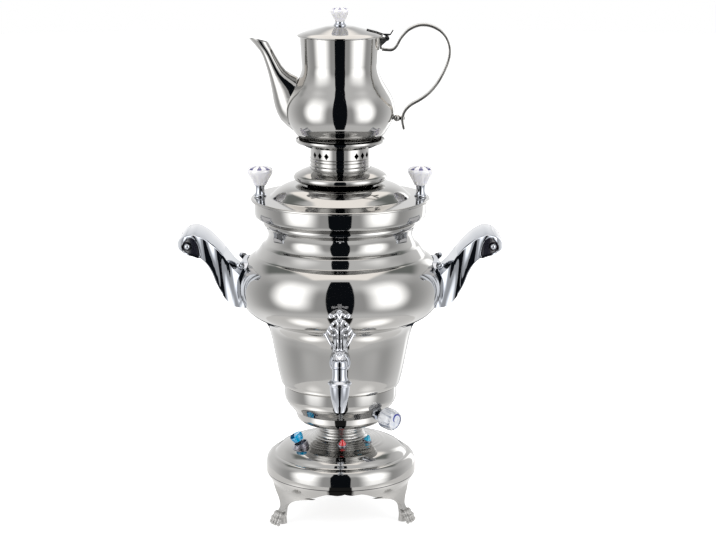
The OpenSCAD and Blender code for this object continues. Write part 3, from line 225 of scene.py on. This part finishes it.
def makeCard(name, card):
    bm = bmesh.new()
    bm.loops.layers.uv.new("uv")
    bmesh.ops.create_grid(bm, x_segments=1, y_segments=1, size=1, calc_uvs=True)
    halfWide, halfHigh = [card["far"] * tan(radians(card[side])) for side in ("wide", "high")]
    bmesh.ops.scale(bm, verts=bm.verts, vec=(halfWide, halfHigh, 1))
    turn = Matrix.Rotation(radians(card["turn"]), 4, "Z")
    rise = Matrix.Rotation(radians(90 - card["rise"]), 4, "X")
    away = Matrix.Translation((0, 0, card["far"]))
    bmesh.ops.transform(bm, verts=bm.verts,
                        matrix=Matrix.Translation(studio["middle"]) @ turn @ rise @ away)
    made = addObject(name, bm, cardFinish(name, card))
    made.visible_camera = False
    made.visible_shadow = False


def makeFloor(settings):
    finish = Finish("paleFloor", Roughness=0.6, Specular_IOR_Level=0.1)
    tone = finish.spread(finish.noise(finish.place(), 3), 0.3, 0.7, 0.985, 1)
    finish.set(Base_Color=finish.mix(tone, settings["shade"], settings["colour"]))
    seen = finish.node("LightPath", output="Is Camera Ray")
    lift = finish.node("Emission", sockets={"Color": (1, 1, 1), "Strength": seen * settings["lift"]})
    plain = Wire(finish.tree, finish.shader.outputs[0])
    finish.setSurface(finish.node("AddShader", sockets={0: plain, 1: lift}))
    bm = bmesh.new()
    bmesh.ops.create_circle(bm, cap_ends=True, segments=64, radius=settings["reach"])
    floor = addObject("floor", bm, finish.material)
    floor.visible_glossy = False


# a glowing stage piece that only shows in polished metal
def addReflected(name, bm, finish, tint, strength):
    finish.setSurface(finish.node("Emission", sockets={"Color": tint, "Strength": strength}))
    made = addObject(name, bm, finish.material)
    for ray in ("camera", "diffuse", "transmission", "shadow", "volume_scatter"):
        setattr(made, "visible_" + ray, False)


# the near part of the table, with the pools of light that the soft boxes leave on it and the
# dark wedge that the flag does
def makeSheen(settings):
    finish = Finish("tableSheen")
    x, y, _ = finish.split(finish.place())
    beside = finish.maths("ABSOLUTE", x)
    turn = radians(settings["spotTurn"])
    spotX = beside - settings["spotReach"] * sin(turn)
    spotY = y + settings["spotReach"] * cos(turn)
    away = finish.maths("SQRT", spotX * spotX + spotY * spotY)
    pool = finish.spread(away, settings["spotSize"], settings["spotCore"], 0, settings["spotGlow"],
                         smooth=True)
    wedge = finish.spread(beside + y * settings["shadeLean"], -settings["shadeBlur"],
                          settings["shadeBlur"], settings["shadeGlow"], 1)
    bm = bmesh.new()
    bmesh.ops.create_circle(bm, cap_ends=True, segments=96, radius=settings["reach"])
    bmesh.ops.translate(bm, verts=bm.verts, vec=(0, 0, settings["low"]))
    addReflected("tableSheen", bm, finish, settings["tint"], (pool + settings["bright"]) * wedge)


# grey cloth all round, paler towards its top and bottom, and white behind
def makeTent(settings):
    low, high, level = settings["low"], settings["high"], settings["level"]
    finish = Finish("tentCloth")
    _, y, z = finish.split(finish.place())
    rising = finish.spread(z, level, high, settings["middle"], settings["edge"], smooth=True)
    falling = finish.spread(z, -level, low, 0, settings["edge"] - settings["middle"], smooth=True)
    behind = finish.spread(y, settings["backFrom"], settings["backTo"], 0, settings["back"],
                           smooth=True)
    under = finish.spread(z, settings["backTop"], level, smooth=True)
    bm = bmesh.new()
    bmesh.ops.create_cone(bm, cap_ends=False, segments=96, radius1=settings["reach"],
                          radius2=settings["reach"], depth=high - low)
    bmesh.ops.translate(bm, verts=bm.verts, vec=(0, 0, (high + low) / 2))
    addReflected("greyTent", bm, finish, (1, 1, 1), rising + falling + behind * under)


# white where it is seen, plainer where it only lights
def makeWorld(settings):
    world = bpy.data.worlds.new("studio")
    world.use_nodes = True
    scene.world = world
    tree = world.node_tree
    path = tree.nodes.new("ShaderNodeLightPath")
    seen = Wire(tree, path.outputs["Is Camera Ray"])
    for ray in ("Is Glossy Ray", "Is Transmission Ray"):
        seen = seen.sum("MAXIMUM", Wire(tree, path.outputs[ray]))
    back = tree.nodes["Background"]
    feed(tree, back.inputs["Color"], (1, 1, 1))
    strength = seen * (settings["seen"] - settings["light"]) + settings["light"]
    feed(tree, back.inputs["Strength"], strength)


makeWorld(studio["world"])
makeFloor(studio["floor"])
makeSheen(studio["sheen"])
makeTent(studio["tent"])
for cardName, card in cards.items():
    makeCard(cardName, card)
print("studio ready:", len(cards), "cards")


metals = {
    "polishedSteel": {"colour": (0.43, 0.425, 0.415), "shade": (0.395, 0.39, 0.38), "roughness": 0.035,
                      "spread": 0.035, "spun": 1},
    "platedCasting": {"colour": (0.48, 0.5, 0.54), "shade": (0.44, 0.46, 0.5), "roughness": 0.03,
                      "spread": 0.03, "spun": 0},
    "seamedSteel": {"colour": (0.43, 0.425, 0.415), "shade": (0.395, 0.39, 0.38), "roughness": 0.035,
                    "spread": 0.035, "spun": 1,
                    "seam": {"height": 0.0475, "half": 0.00025, "blur": 0.0005,
                             "dark": (0.02, 0.02, 0.025)},
                    "satin": {"below": 0.0435, "full": 0.0335, "inner": 0.022, "outer": 0.036,
                              "front": 0.1, "sides": 0.5, "flareFrom": 0.0825, "flareFull": 0.0885,
                              "flare": 0.24}},
    "wavyCasting": {"colour": (0.48, 0.5, 0.54), "shade": (0.44, 0.46, 0.5), "roughness": 0.03,
                    "spread": 0.03, "spun": 0, "wave": {"length": 0.0125, "deep": 0.00033, "lean": 0.2,
                                                        "start": 0.0485}},
    "keyCasting": {"colour": (0.56, 0.57, 0.6), "shade": (0.5, 0.51, 0.54), "roughness": 0.13,
                   "spread": 0.05, "spun": 0, "wave": {"length": 0.0045, "deep": 0.00045, "lean": 0.5,
                                                       "start": 0}},
    "plainSteel": {"colour": (0.55, 0.54, 0.52), "shade": (0.46, 0.45, 0.43), "roughness": 0.22,
                   "spread": 0.12, "spun": 0},
    "brassParts": {"colour": (0.72, 0.52, 0.23), "shade": (0.6, 0.41, 0.16), "roughness": 0.16,
                   "spread": 0.1, "spun": 0},
}


# tone that drifts over a hand's width, with fine scuffs in the gloss
def makeMetal(name, metal):
    finish = Finish(name, Metallic=1)
    place = finish.place()
    x, y, z = finish.split(place)
    beside = finish.maths("ABSOLUTE", x)
    drift = finish.spread(finish.noise(place, 9, 3), 0.35, 0.7)
    scuff = finish.spread(finish.noise(place, 160, 4, 0.65), 0.45, 0.8)
    tone = finish.mix(drift, metal["colour"], metal["shade"])
    gloss = scuff * metal["spread"] + metal["roughness"]
    if metal["spun"]:
        reach = finish.maths("SQRT", x * x + y * y)
        rings = finish.noise(finish.join(reach * 900, 0, z * 900), 1, 2)
        finish.set(Normal=finish.bump(rings, 0.000002, 0.35))
    if "seam" in metal:
        seam = metal["seam"]
        off = finish.maths("ABSOLUTE", z - seam["height"])
        tone = finish.mix(finish.spread(off, seam["half"], seam["blur"]), seam["dark"], tone)
    if "satin" in metal:
        satin = metal["satin"]
        skirt = finish.spread(z, satin["below"], satin["full"], smooth=True)
        side = finish.spread(beside, satin["inner"], satin["outer"], satin["front"], satin["sides"],
                             smooth=True)
        flare = finish.spread(z, satin["flareFrom"], satin["flareFull"], 0, satin["flare"],
                              smooth=True)
        gloss = gloss + skirt * side + flare
    else:
        gloss = gloss + drift * 0.01
    if "wave" in metal:
        wave = metal["wave"]
        along = beside - z * wave["lean"] - wave["start"]
        swell = finish.maths("SINE", along * (2 * pi / wave["length"]))
        finish.set(Normal=finish.bump(swell, wave["deep"]))
    finish.set(Base_Color=tone, Roughness=gloss)
    return finish.material


plastics = {
    "blackMoulding": {"colour": (0.01, 0.01, 0.016), "shade": (0.02, 0.02, 0.028), "roughness": 0.12,
                      "Coat_Weight": 0.6},
    "blackPaint": {"colour": (0.03, 0.03, 0.032), "shade": (0.05, 0.05, 0.05), "roughness": 0.4,
                   "depth": 0.00006},
    "softRubber": {"colour": (0.018, 0.018, 0.019), "shade": (0.03, 0.03, 0.03), "roughness": 0.6},
    "paleMoulding": {"colour": (0.8, 0.76, 0.66), "shade": (0.74, 0.7, 0.6), "roughness": 0.4},
    "leadSleeve": {"colour": (0.55, 0.06, 0.04), "shade": (0.45, 0.05, 0.035), "roughness": 0.45},
    "collarGrey": {"colour": (0.3, 0.29, 0.33), "shade": (0.22, 0.215, 0.25), "roughness": 0.16,
                   "Coat_Weight": 0.5, "Metallic": 0.6},
    # the switch's blue plastic; its emission is a painted glow, since the button is no lamp
    "switchBlue": {"colour": (0.0, 0.42, 0.72), "shade": (0.0, 0.28, 0.58), "roughness": 0.05,
                   "Coat_Weight": 1, "Transmission_Weight": 0.2, "Emission_Color": (0, 0.45, 0.8),
                   "Emission_Strength": 0.12},
    # painted shade for the button's upper left side, in navy, with a faint painted glow of its own
    "switchNavy": {"colour": (0.0, 0.03, 0.09), "shade": (0.0, 0.06, 0.17), "roughness": 0.2,
                   "Specular_IOR_Level": 0.05, "IOR": 1.1, "Emission_Color": (0, 0.2, 0.4),
                   "Emission_Strength": 0.08},
}
lenses = {
    "redLens": {"colour": (0.75, 0.035, 0.04), "deep": (0.35, 0.008, 0.012)},
    "blueLens": {"colour": (0.02, 0.6, 0.78), "deep": (0.0, 0.22, 0.4)},
}


# mottled a little, with a fine grain; further values are the shader's own
def makePlastic(name, colour, shade, roughness, depth=0.00002, **constants):
    finish = Finish(name, Coat_Roughness=0.03, **constants)
    place = finish.place()
    drift = finish.spread(finish.noise(place, 25, 3), 0.3, 0.7)
    grain = finish.noise(place, 900, 3)
    finish.set(Base_Color=finish.mix(drift, colour, shade),
               Roughness=finish.spread(grain, 0.3, 0.7, roughness, roughness + 0.08),
               Normal=finish.bump(grain, depth, 0.3))
    return finish


# lit from inside, brighter between its facets
def makeLens(name, lens):
    finish = makePlastic(name, lens["colour"], lens["deep"], 0.06, Coat_Weight=1,
                         Transmission_Weight=0.15, IOR=1.49, Emission_Strength=0.25)
    facets = finish.node("TexVoronoi", sockets={"Vector": finish.place(), "Scale": 700})
    lit = finish.mix(finish.spread(facets, 0.1, 0.7), lens["colour"], lens["deep"])
    finish.set(Emission_Color=lit)
    return finish.material


finishes = {name: makeMetal(name, metal) for name, metal in metals.items()}
finishes.update({name: makePlastic(name, **plastic).material for name, plastic in plastics.items()})
finishes.update({name: makeLens(name, lens) for name, lens in lenses.items()})


# lengths along a turning piece's own three directions, from its pivot
def ownAxes(finish, pivot, outward):
    level = Vector((0, 0, 1)).cross(outward).normalized()
    away = finish.node("VectorMath", {"operation": "SUBTRACT"}, {0: finish.place(), 1: pivot})
    return [finish.node("VectorMath", {"operation": "DOT_PRODUCT"}, {0: away, 1: way}, output=1)
            for way in (level, outward.cross(level), outward)]


dialMoulding = {"across": 330, "along": 45, "clear": (0.3, 0.34, 0.44), "pale": (0.9, 0.92, 0.96)}
dialStroke = {"radius": 0.0095, "from": -75, "sweep": 285, "edge": 0.84, "core": 0.08, "half": 0.13,
              "cobalt": (0.015, 0.03, 0.36)}


# clear moulding with pale streaks along its length
def makeDialSide(joint, moulding):
    finish = Finish("dialPlastic", Coat_Weight=1, Coat_Roughness=0.02, Transmission_Weight=0.15)
    right, up, out = ownAxes(finish, joint["pos_m"], Vector(joint["axis"]))
    drawn = finish.join(right * moulding["across"], up * moulding["across"], out * moulding["along"])
    streaks = finish.noise(drawn, 1, 3, 0.6)
    glass = finish.mix(finish.spread(streaks, 0.38, 0.52), moulding["clear"], moulding["pale"])
    finish.set(Base_Color=glass, Roughness=finish.spread(streaks, 0.3, 0.7, 0.05, 0.14),
               Normal=finish.bump(streaks, 0.0002, 0.5))
    return finish.material


# pale face with a cobalt stroke that runs round its edge and curls in to the middle
def makeDialFace(joint, stroke):
    finish = Finish("dialFace", Coat_Weight=1, Coat_Roughness=0.02)
    right, up, _ = ownAxes(finish, joint["pos_m"], Vector(joint["axis"]))
    reach = finish.maths("SQRT", right * right + up * up) / stroke["radius"]
    turn = finish.maths("ARCTAN2", up, right) + (2 * pi - radians(stroke["from"]))
    along = finish.maths("MODULO", turn, 2 * pi) / radians(stroke["sweep"])
    line = finish.spread(along, 0.5, 1, stroke["edge"], stroke["core"], smooth=True)
    half = finish.spread(along, 0, 0.55, 0.02, stroke["half"]) * finish.spread(along, 1, 0.75, 0.3, 1)
    off = finish.maths("ABSOLUTE", reach - line)
    ink = finish.maths("LESS_THAN", off, half) * finish.maths("LESS_THAN", along, 1)
    milk = finish.spread(finish.noise(finish.place(), 240, 3), 0.35, 0.65)
    pale = finish.mix(milk, (0.62, 0.68, 0.82), (0.93, 0.94, 0.97))
    finish.set(Base_Color=finish.mix(ink, pale, stroke["cobalt"]),
               Roughness=finish.spread(milk, 0, 1, 0.05, 0.11))
    return finish.material


finishes["dialPlastic"] = makeDialSide(jointOf["thermostat_turn"], dialMoulding)
finishes["dialFace"] = makeDialFace(jointOf["thermostat_turn"], dialStroke)
print("finishes ready:", len(finishes))


# a piece that rides on its node's body and shows in the node's place
def addPiece(name, bm, node, crease):
    for face in bm.faces:
        face.smooth = True
    for edge in bm.edges:
        edge.smooth = edge.calc_face_angle(0) < radians(crease)
    piece = addObject(name, bm)
    if "custom_normal" in piece.data.attributes:
        piece.data.attributes.remove(piece.data.attributes["custom_normal"])
    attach(piece, bodyOf[node])
    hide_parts(node)
    return piece


mergeWithin = 0.000002


# a smooth-shaded copy of a CAD node, whose facets are merged and whose edges stay crisp
def smoothCopy(name, node, crease=32, rounding=0, beyond=0, change=None):
    bm = bmesh.new()
    bm.from_mesh(nodes[node].data)
    bmesh.ops.remove_doubles(bm, verts=bm.verts, dist=mergeWithin)
    if change:
        change(bm)
    if rounding:
        bmesh.ops.dissolve_limit(bm, angle_limit=radians(0.4), verts=bm.verts, edges=bm.edges)
        folds = [edge for edge in bm.edges
                 if edge.is_manifold and edge.calc_face_angle(0) > radians(crease)]
        sharp = [edge for edge in folds if min(abs(v.co.x) for v in edge.verts) > beyond]
        bmesh.ops.bevel(bm, geom=sharp, offset=rounding, segments=3, profile=0.5, affect="EDGES",
                        clamp_overlap=False, material=-1)
    return addPiece(name, bm, node, crease)


# a line through the points, rounded between them
def easedLine(points, steps=4):
    ends = [points[0], *points, points[-1]]
    line = [points[0]]
    for before, start, end, after in zip(ends, ends[1:], ends[2:], ends[3:]):
        for i in range(1, steps + 1):
            t = i / steps
            line.append([0.5 * (2 * b + (c - a) * t + (2 * a - 5 * b + 4 * c - d) * t * t
                                + (3 * b - a - 3 * c + d) * t ** 3)
                         for a, b, c, d in zip(before, start, end, after)])
    return line


# a piece turned about upright middles, from a line of radius and height in mm
def turnedPiece(name, node, line, middles=((0, 0),), wall=0, crease=40):
    bm = bmesh.new()
    verts = [bm.verts.new((r / 1000, 0, z / 1000)) for r, z in line]
    edges = [bm.edges.new(pair) for pair in zip(verts, verts[1:])]
    bmesh.ops.spin(bm, geom=verts + edges, cent=(0, 0, 0), axis=(0, 0, 1), dvec=(0, 0, 0),
                   angle=2 * pi, steps=128, use_merge=True)
    bmesh.ops.remove_doubles(bm, verts=bm.verts, dist=mergeWithin)
    bmesh.ops.recalc_face_normals(bm, faces=bm.faces)
    if wall:
        bmesh.ops.solidify(bm, geom=bm.faces[:], thickness=wall / 1000)
    first = Vector((*middles[0], 0))
    bmesh.ops.translate(bm, verts=bm.verts, vec=first)
    whole = bm.verts[:] + bm.edges[:] + bm.faces[:]
    for x, y in middles[1:]:
        made = bmesh.ops.duplicate(bm, geom=whole)["geom"]
        bmesh.ops.translate(bm, verts=[v for v in made if isinstance(v, bmesh.types.BMVert)],
                            vec=Vector((x, y, 0)) - first)
    return addPiece(name, bm, node, crease)


def dress(piece, finish):
    piece.data.materials.clear()
    piece.data.materials.append(finishes[finish])


done = set()


# gives a new piece its finish, and notes the node that it stands in for as done
def finishPiece(piece, node, finish):
    dress(piece, finish)
    done.add(node)


def shapedCopy(name, node, finish, change):
    finishPiece(smoothCopy(name, node, change=change), node, finish)


copies = {
    "pedestalFoot": ("leg_skirt", "seamedSteel"),
    "heaterBowl": ("heater_bowl", "polishedSteel"),
    "waterTank": ("tank", "polishedSteel"),
    "rimBand": ("rim_band", "polishedSteel"),
    "potSaucer": ("teapot_saucer", "polishedSteel"),
    "potSpout": ("pot_spout", "polishedSteel"),
    "potLid": ("pot_lid", "polishedSteel"),
    "tapRosette": ("tap_escutcheon", "platedCasting"),
    "tapBonnet": ("tap_bonnet", "platedCasting"),
    "lidKnobStems": ("lid_knob_stems", "platedCasting"),
    "potKnobStem": ("pot_knob_stem", "platedCasting"),
    "dialKnob": ("thermostat_knob", "dialPlastic"),
    "dialFace": ("knob_disc", "dialFace"),
}
for pieceName, (node, finish) in copies.items():
    finishPiece(smoothCopy(pieceName, node), node, finish)
print("plain copies ready:", len(copies))


# castings and strips with softened edges, of which the teapot's strip is thickened on each side
stripGrowth = 0.0008


def thickenStrip(bm):
    bm.normal_update()
    for vert in bm.verts:
        vert.co += vert.normal * stripGrowth


rounded = {
    "handleLeft": {"node": "handle_left", "finish": "wavyCasting", "rounding": 0.0014, "beyond": 0.121},
    "handleRight": {"node": "handle_right", "finish": "wavyCasting", "rounding": 0.0014, "beyond": 0.121},
    "tapKey": {"node": "tap_key", "finish": "keyCasting", "rounding": 0.0005},
    "potHandle": {"node": "pot_handle", "finish": "plainSteel", "rounding": 0.0005,
                  "change": thickenStrip},
}
for pieceName, soft in rounded.items():
    piece = smoothCopy(pieceName, soft["node"], rounding=soft["rounding"],
                       beyond=soft.get("beyond", 0), change=soft.get("change"))
    finishPiece(piece, soft["node"], soft["finish"])
print("softened castings ready:", len(rounded))


# the pedestal's turned ribs, worn shallow
ribs = {"low": 0.084, "high": 0.112, "beyond": 0.0345, "within": 0.06, "passes": 18}


def flattenRibs(bm):
    rows = [v for v in bm.verts if ribs["low"] < v.co.z < ribs["high"]
            and ribs["beyond"] < v.co.xy.length < ribs["within"]]
    for _ in range(ribs["passes"]):
        bmesh.ops.smooth_vert(bm, verts=rows, factor=0.5, use_axis_x=True, use_axis_y=True,
                              use_axis_z=True)


shapedCopy("pedestalDome", "base_dome", "seamedSteel", flattenRibs)


# the teapot, drawn in at its waist and rounder at its belly
potForm = {
    "waist": {"height": 0.477, "half": 0.019, "share": -0.052},
    "belly": {"height": 0.437, "half": 0.024, "share": 0.03},
}


def shapePot(bm):
    for vert in bm.verts:
        for swell in potForm.values():
            near = max(0, 1 - abs(vert.co.z - swell["height"]) / swell["half"])
            vert.co.xy *= 1 + swell["share"] * near * near * (3 - 2 * near)


shapedCopy("potBody", "pot_body", "polishedSteel", shapePot)


# the tap's nozzle, fuller at its waist: heights from the plug's middle, and shares of the radius
nozzle = {"foot": -0.04, "top": -0.0122, "bore": 0.0035, "full": 1.26, "less": 0.33, "bend": 1.6}


def fillNozzle(bm):
    *middle, height = jointOf["tap_turn"]["pos_m"]
    middle = Vector(middle)
    foot = height + nozzle["foot"]
    for vert in bm.verts:
        away = vert.co.xy - middle
        along = (vert.co.z - foot) / (nozzle["top"] - nozzle["foot"])
        if away.length > nozzle["bore"] and -0.1 < along < 1.01:
            grown = nozzle["full"] - nozzle["less"] * max(along, 0) ** nozzle["bend"]
            vert.co.xy = middle + away * grown


shapedCopy("tapBody", "tap_body", "platedCasting", fillNozzle)


# the lid, drawn low with an upright neck under its collar: radius and height in mm
lid = {
    "rim": [(91.6, 340.4), (92.8, 340.3), (93.2, 341.2), (92.9, 342.2), (91.9, 342.9), (90.4, 343)],
    "dome": [(75, 344), (73.4, 344.2), (72.2, 345), (70.2, 347), (67, 350), (63, 352.8), (58, 355.2),
             (52, 356.9), (46, 357.6), (41, 357.5), (37, 357.2), (34.8, 357.5), (33.8, 358.4)],
    "neckTop": (33.6, 360),
    "collar": [(34.5, 359.2), (37, 358.9), (41, 359.2), (45, 360.4), (47.8, 362.4), (48.5, 364.6),
               (47.4, 366.9), (45, 368.6), (40.5, 371), (37.5, 372.2), (34, 373.6), (31.2, 374.4)],
    "wall": 0.8,
}
lidLines = {
    "lidShell": ("lid_shell", [*easedLine(lid["rim"]), *easedLine(lid["dome"]), lid["neckTop"]]),
    "lidCollar": ("lid_collar", easedLine(lid["collar"])),
}
for pieceName, (node, line) in lidLines.items():
    finishPiece(turnedPiece(pieceName, node, line, wall=lid["wall"]), node, "polishedSteel")


# the chimney's foot flange, drawn in to stand inside the lid's neck
chimneyFoot = {"below": 0.3605, "reach": 0.0312}


def narrowFoot(bm):
    for vert in bm.verts:
        away = vert.co.xy.length
        if vert.co.z < chimneyFoot["below"] and away > chimneyFoot["reach"]:
            vert.co.xy *= chimneyFoot["reach"] / away


shapedCopy("steamChimney", "chimney", "polishedSteel", narrowFoot)
print("lid ready:", len(lidLines) + 1, "pieces")


# porcelain knobs: shares of the radius and height, widest above the middle, with a domed crown
knobShape = [(0.46, 0), (0.5, 0.03), (0.57, 0.14), (0.7, 0.31), (0.84, 0.47), (0.95, 0.61), (1, 0.72),
             (0.98, 0.81), (0.86, 0.89), (0.62, 0.95), (0.3, 0.99), (0.001, 1)]
# radius, foot and height in mm, then the petals' ring and the height that they start at
knobs = {
    "lidKnobs": {"node": "lid_knobs", "finish": "lidPorcelain", "radius": 13.5, "foot": 355.5,
                 "high": 20.3, "beside": 0.0835, "petals": 0.0135, "crown": 0.3712},
    "potKnob": {"node": "pot_knob", "finish": "potPorcelain", "radius": 10.4, "foot": 525,
                "high": 14.9, "beside": 0, "petals": 0.0098, "crown": 0.5368},
}
glazes = {"white": (0.88, 0.88, 0.93), "pale": (0.93, 0.92, 0.95), "deep": (0.012, 0.012, 0.14),
          "cobalt": (0.03, 0.03, 0.24)}


# glazed white, with a ring of cobalt petals on the crown
def makePorcelain(knob):
    finish = Finish(knob["finish"], Coat_Weight=1, Coat_Roughness=0.02, Specular_IOR_Level=0.5,
                    Subsurface_Weight=0.15, Subsurface_Radius=(0.004, 0.004, 0.005), Subsurface_Scale=1)
    place = finish.place()
    x, y, z = finish.split(place)
    x = finish.maths("ABSOLUTE", x) - knob["beside"] if knob["beside"] else x
    reach = finish.maths("SQRT", x * x + y * y) / knob["petals"]
    lobe = finish.maths("COSINE", finish.maths("ARCTAN2", y, x) * 8)
    width = finish.spread(reach, 0.3, 0.72, -0.05, 0.72)
    petal = finish.spread(lobe, 0.96 - width * 1.3, 1.0 - width * 1.1, smooth=True)
    inner = finish.spread(reach, 0.3, 0.36, smooth=True)
    outer = finish.spread(reach, 0.98, 0.92, smooth=True)
    top = finish.spread(z, knob["crown"], knob["crown"] + 0.0004)
    cloud = finish.spread(finish.noise(place, 60, 2), 0.3, 0.7)
    speck = finish.spread(finish.noise(place, 900, 3), 0.3, 0.7)
    glaze = finish.mix(cloud, glazes["white"], glazes["pale"])
    ink = finish.mix(speck, glazes["deep"], glazes["cobalt"])
    finish.set(Base_Color=finish.mix(petal * inner * outer * top, glaze, ink),
               Roughness=finish.spread(finish.noise(place, 300, 2), 0.3, 0.7, 0.06, 0.12))
    return finish.material


for pieceName, knob in knobs.items():
    finishes[knob["finish"]] = makePorcelain(knob)
    middles = [(-knob["beside"], 0), (knob["beside"], 0)] if knob["beside"] else [(0, 0)]
    line = [(r * knob["radius"], knob["foot"] + h * knob["high"]) for r, h in easedLine(knobShape, 3)]
    piece = turnedPiece(pieceName, knob["node"], [(0.001, knob["foot"]), *line], middles)
    finishPiece(piece, knob["node"], knob["finish"])
print("knobs ready:", len(knobs), "pieces")


# the round switch: its collar lowered towards the dome, and a blue button with a painted glow whose upper
# left side is painted navy as shade, drawn as radius and height over the pivot in mm
switch = {
    "lowered": 0.55, "loweredFrom": -0.005,
    "button": [(0.001, 0.6), (5, 0.6), (5.6, 1.6), (6.2, 3), (6.7, 4.6), (6.9, 6.2), (6.6, 7.6),
               (5.7, 8.5), (4.4, 8.6), (3, 8.2), (1.5, 8), (0.001, 7.9)],
    "navyAbove": 0.0066, "navyBeside": -0.0012,
}
switchPivot = Vector(jointOf["switch_rock"]["pos_m"])
corners = [v.co for v in nodes["switch_rocker"].data.vertices]
outward = (sum(corners, Vector()) / len(corners) - switchPivot).normalized()


def lowerCollar(bm):
    for vert in bm.verts:
        over = (vert.co - switchPivot).dot(outward) - switch["loweredFrom"]
        vert.co -= outward * switch["lowered"] * max(0, over)


def addButton(name, node):
    piece = turnedPiece(name, node, easedLine(switch["button"]))
    turn = Vector((0, 0, 1)).rotation_difference(outward).to_matrix().to_4x4()
    piece.data.transform(Matrix.Translation(switchPivot) @ turn)
    finishPiece(piece, node, "switchBlue")
    piece.data.materials.append(finishes["switchNavy"])
    # faces high on the button's left take the navy painted shade
    for face in piece.data.polygons:
        offset = face.center - switchPivot
        high = offset.dot(outward)
        if high > switch["navyAbove"] and offset.x - outward.x * high < switch["navyBeside"]:
            face.material_index = 1


shapedCopy("switchHousing", "switch_housing", "collarGrey", lowerCollar)
addButton("switchRocker", "switch_rocker")
print("switch ready")


# every other node keeps its mesh and takes the finish of its slot, or its own
slotFinishes = {
    "polished_steel": "polishedSteel", "plated_casting": "platedCasting", "steel": "plainSteel",
    "brass": "brassParts", "black_paint": "blackPaint", "black_plastic": "blackMoulding",
    "rubber": "softRubber", "lead_sleeve": "leadSleeve", "porcelain": "lidPorcelain",
    "moulding": "paleMoulding", "dial_plastic": "dialPlastic", "dial_blue": "dialFace",
    "switch_grey": "collarGrey", "switch_blue": "switchBlue", "red_lens": "redLens",
    "blue_lens": "blueLens",
}
otherFinishes = {"red_lamp_bezel": "collarGrey", "blue_lamp_bezel": "collarGrey",
                 "pot_bracket": "plainSteel"}
for name, node in nodes.items():
    if name not in done:
        dress(node, otherFinishes.get(name, slotFinishes[slotOf[name]]))
print("pieces ready:", len(done), "new and", len(nodes) - len(done), "of the frame's own")
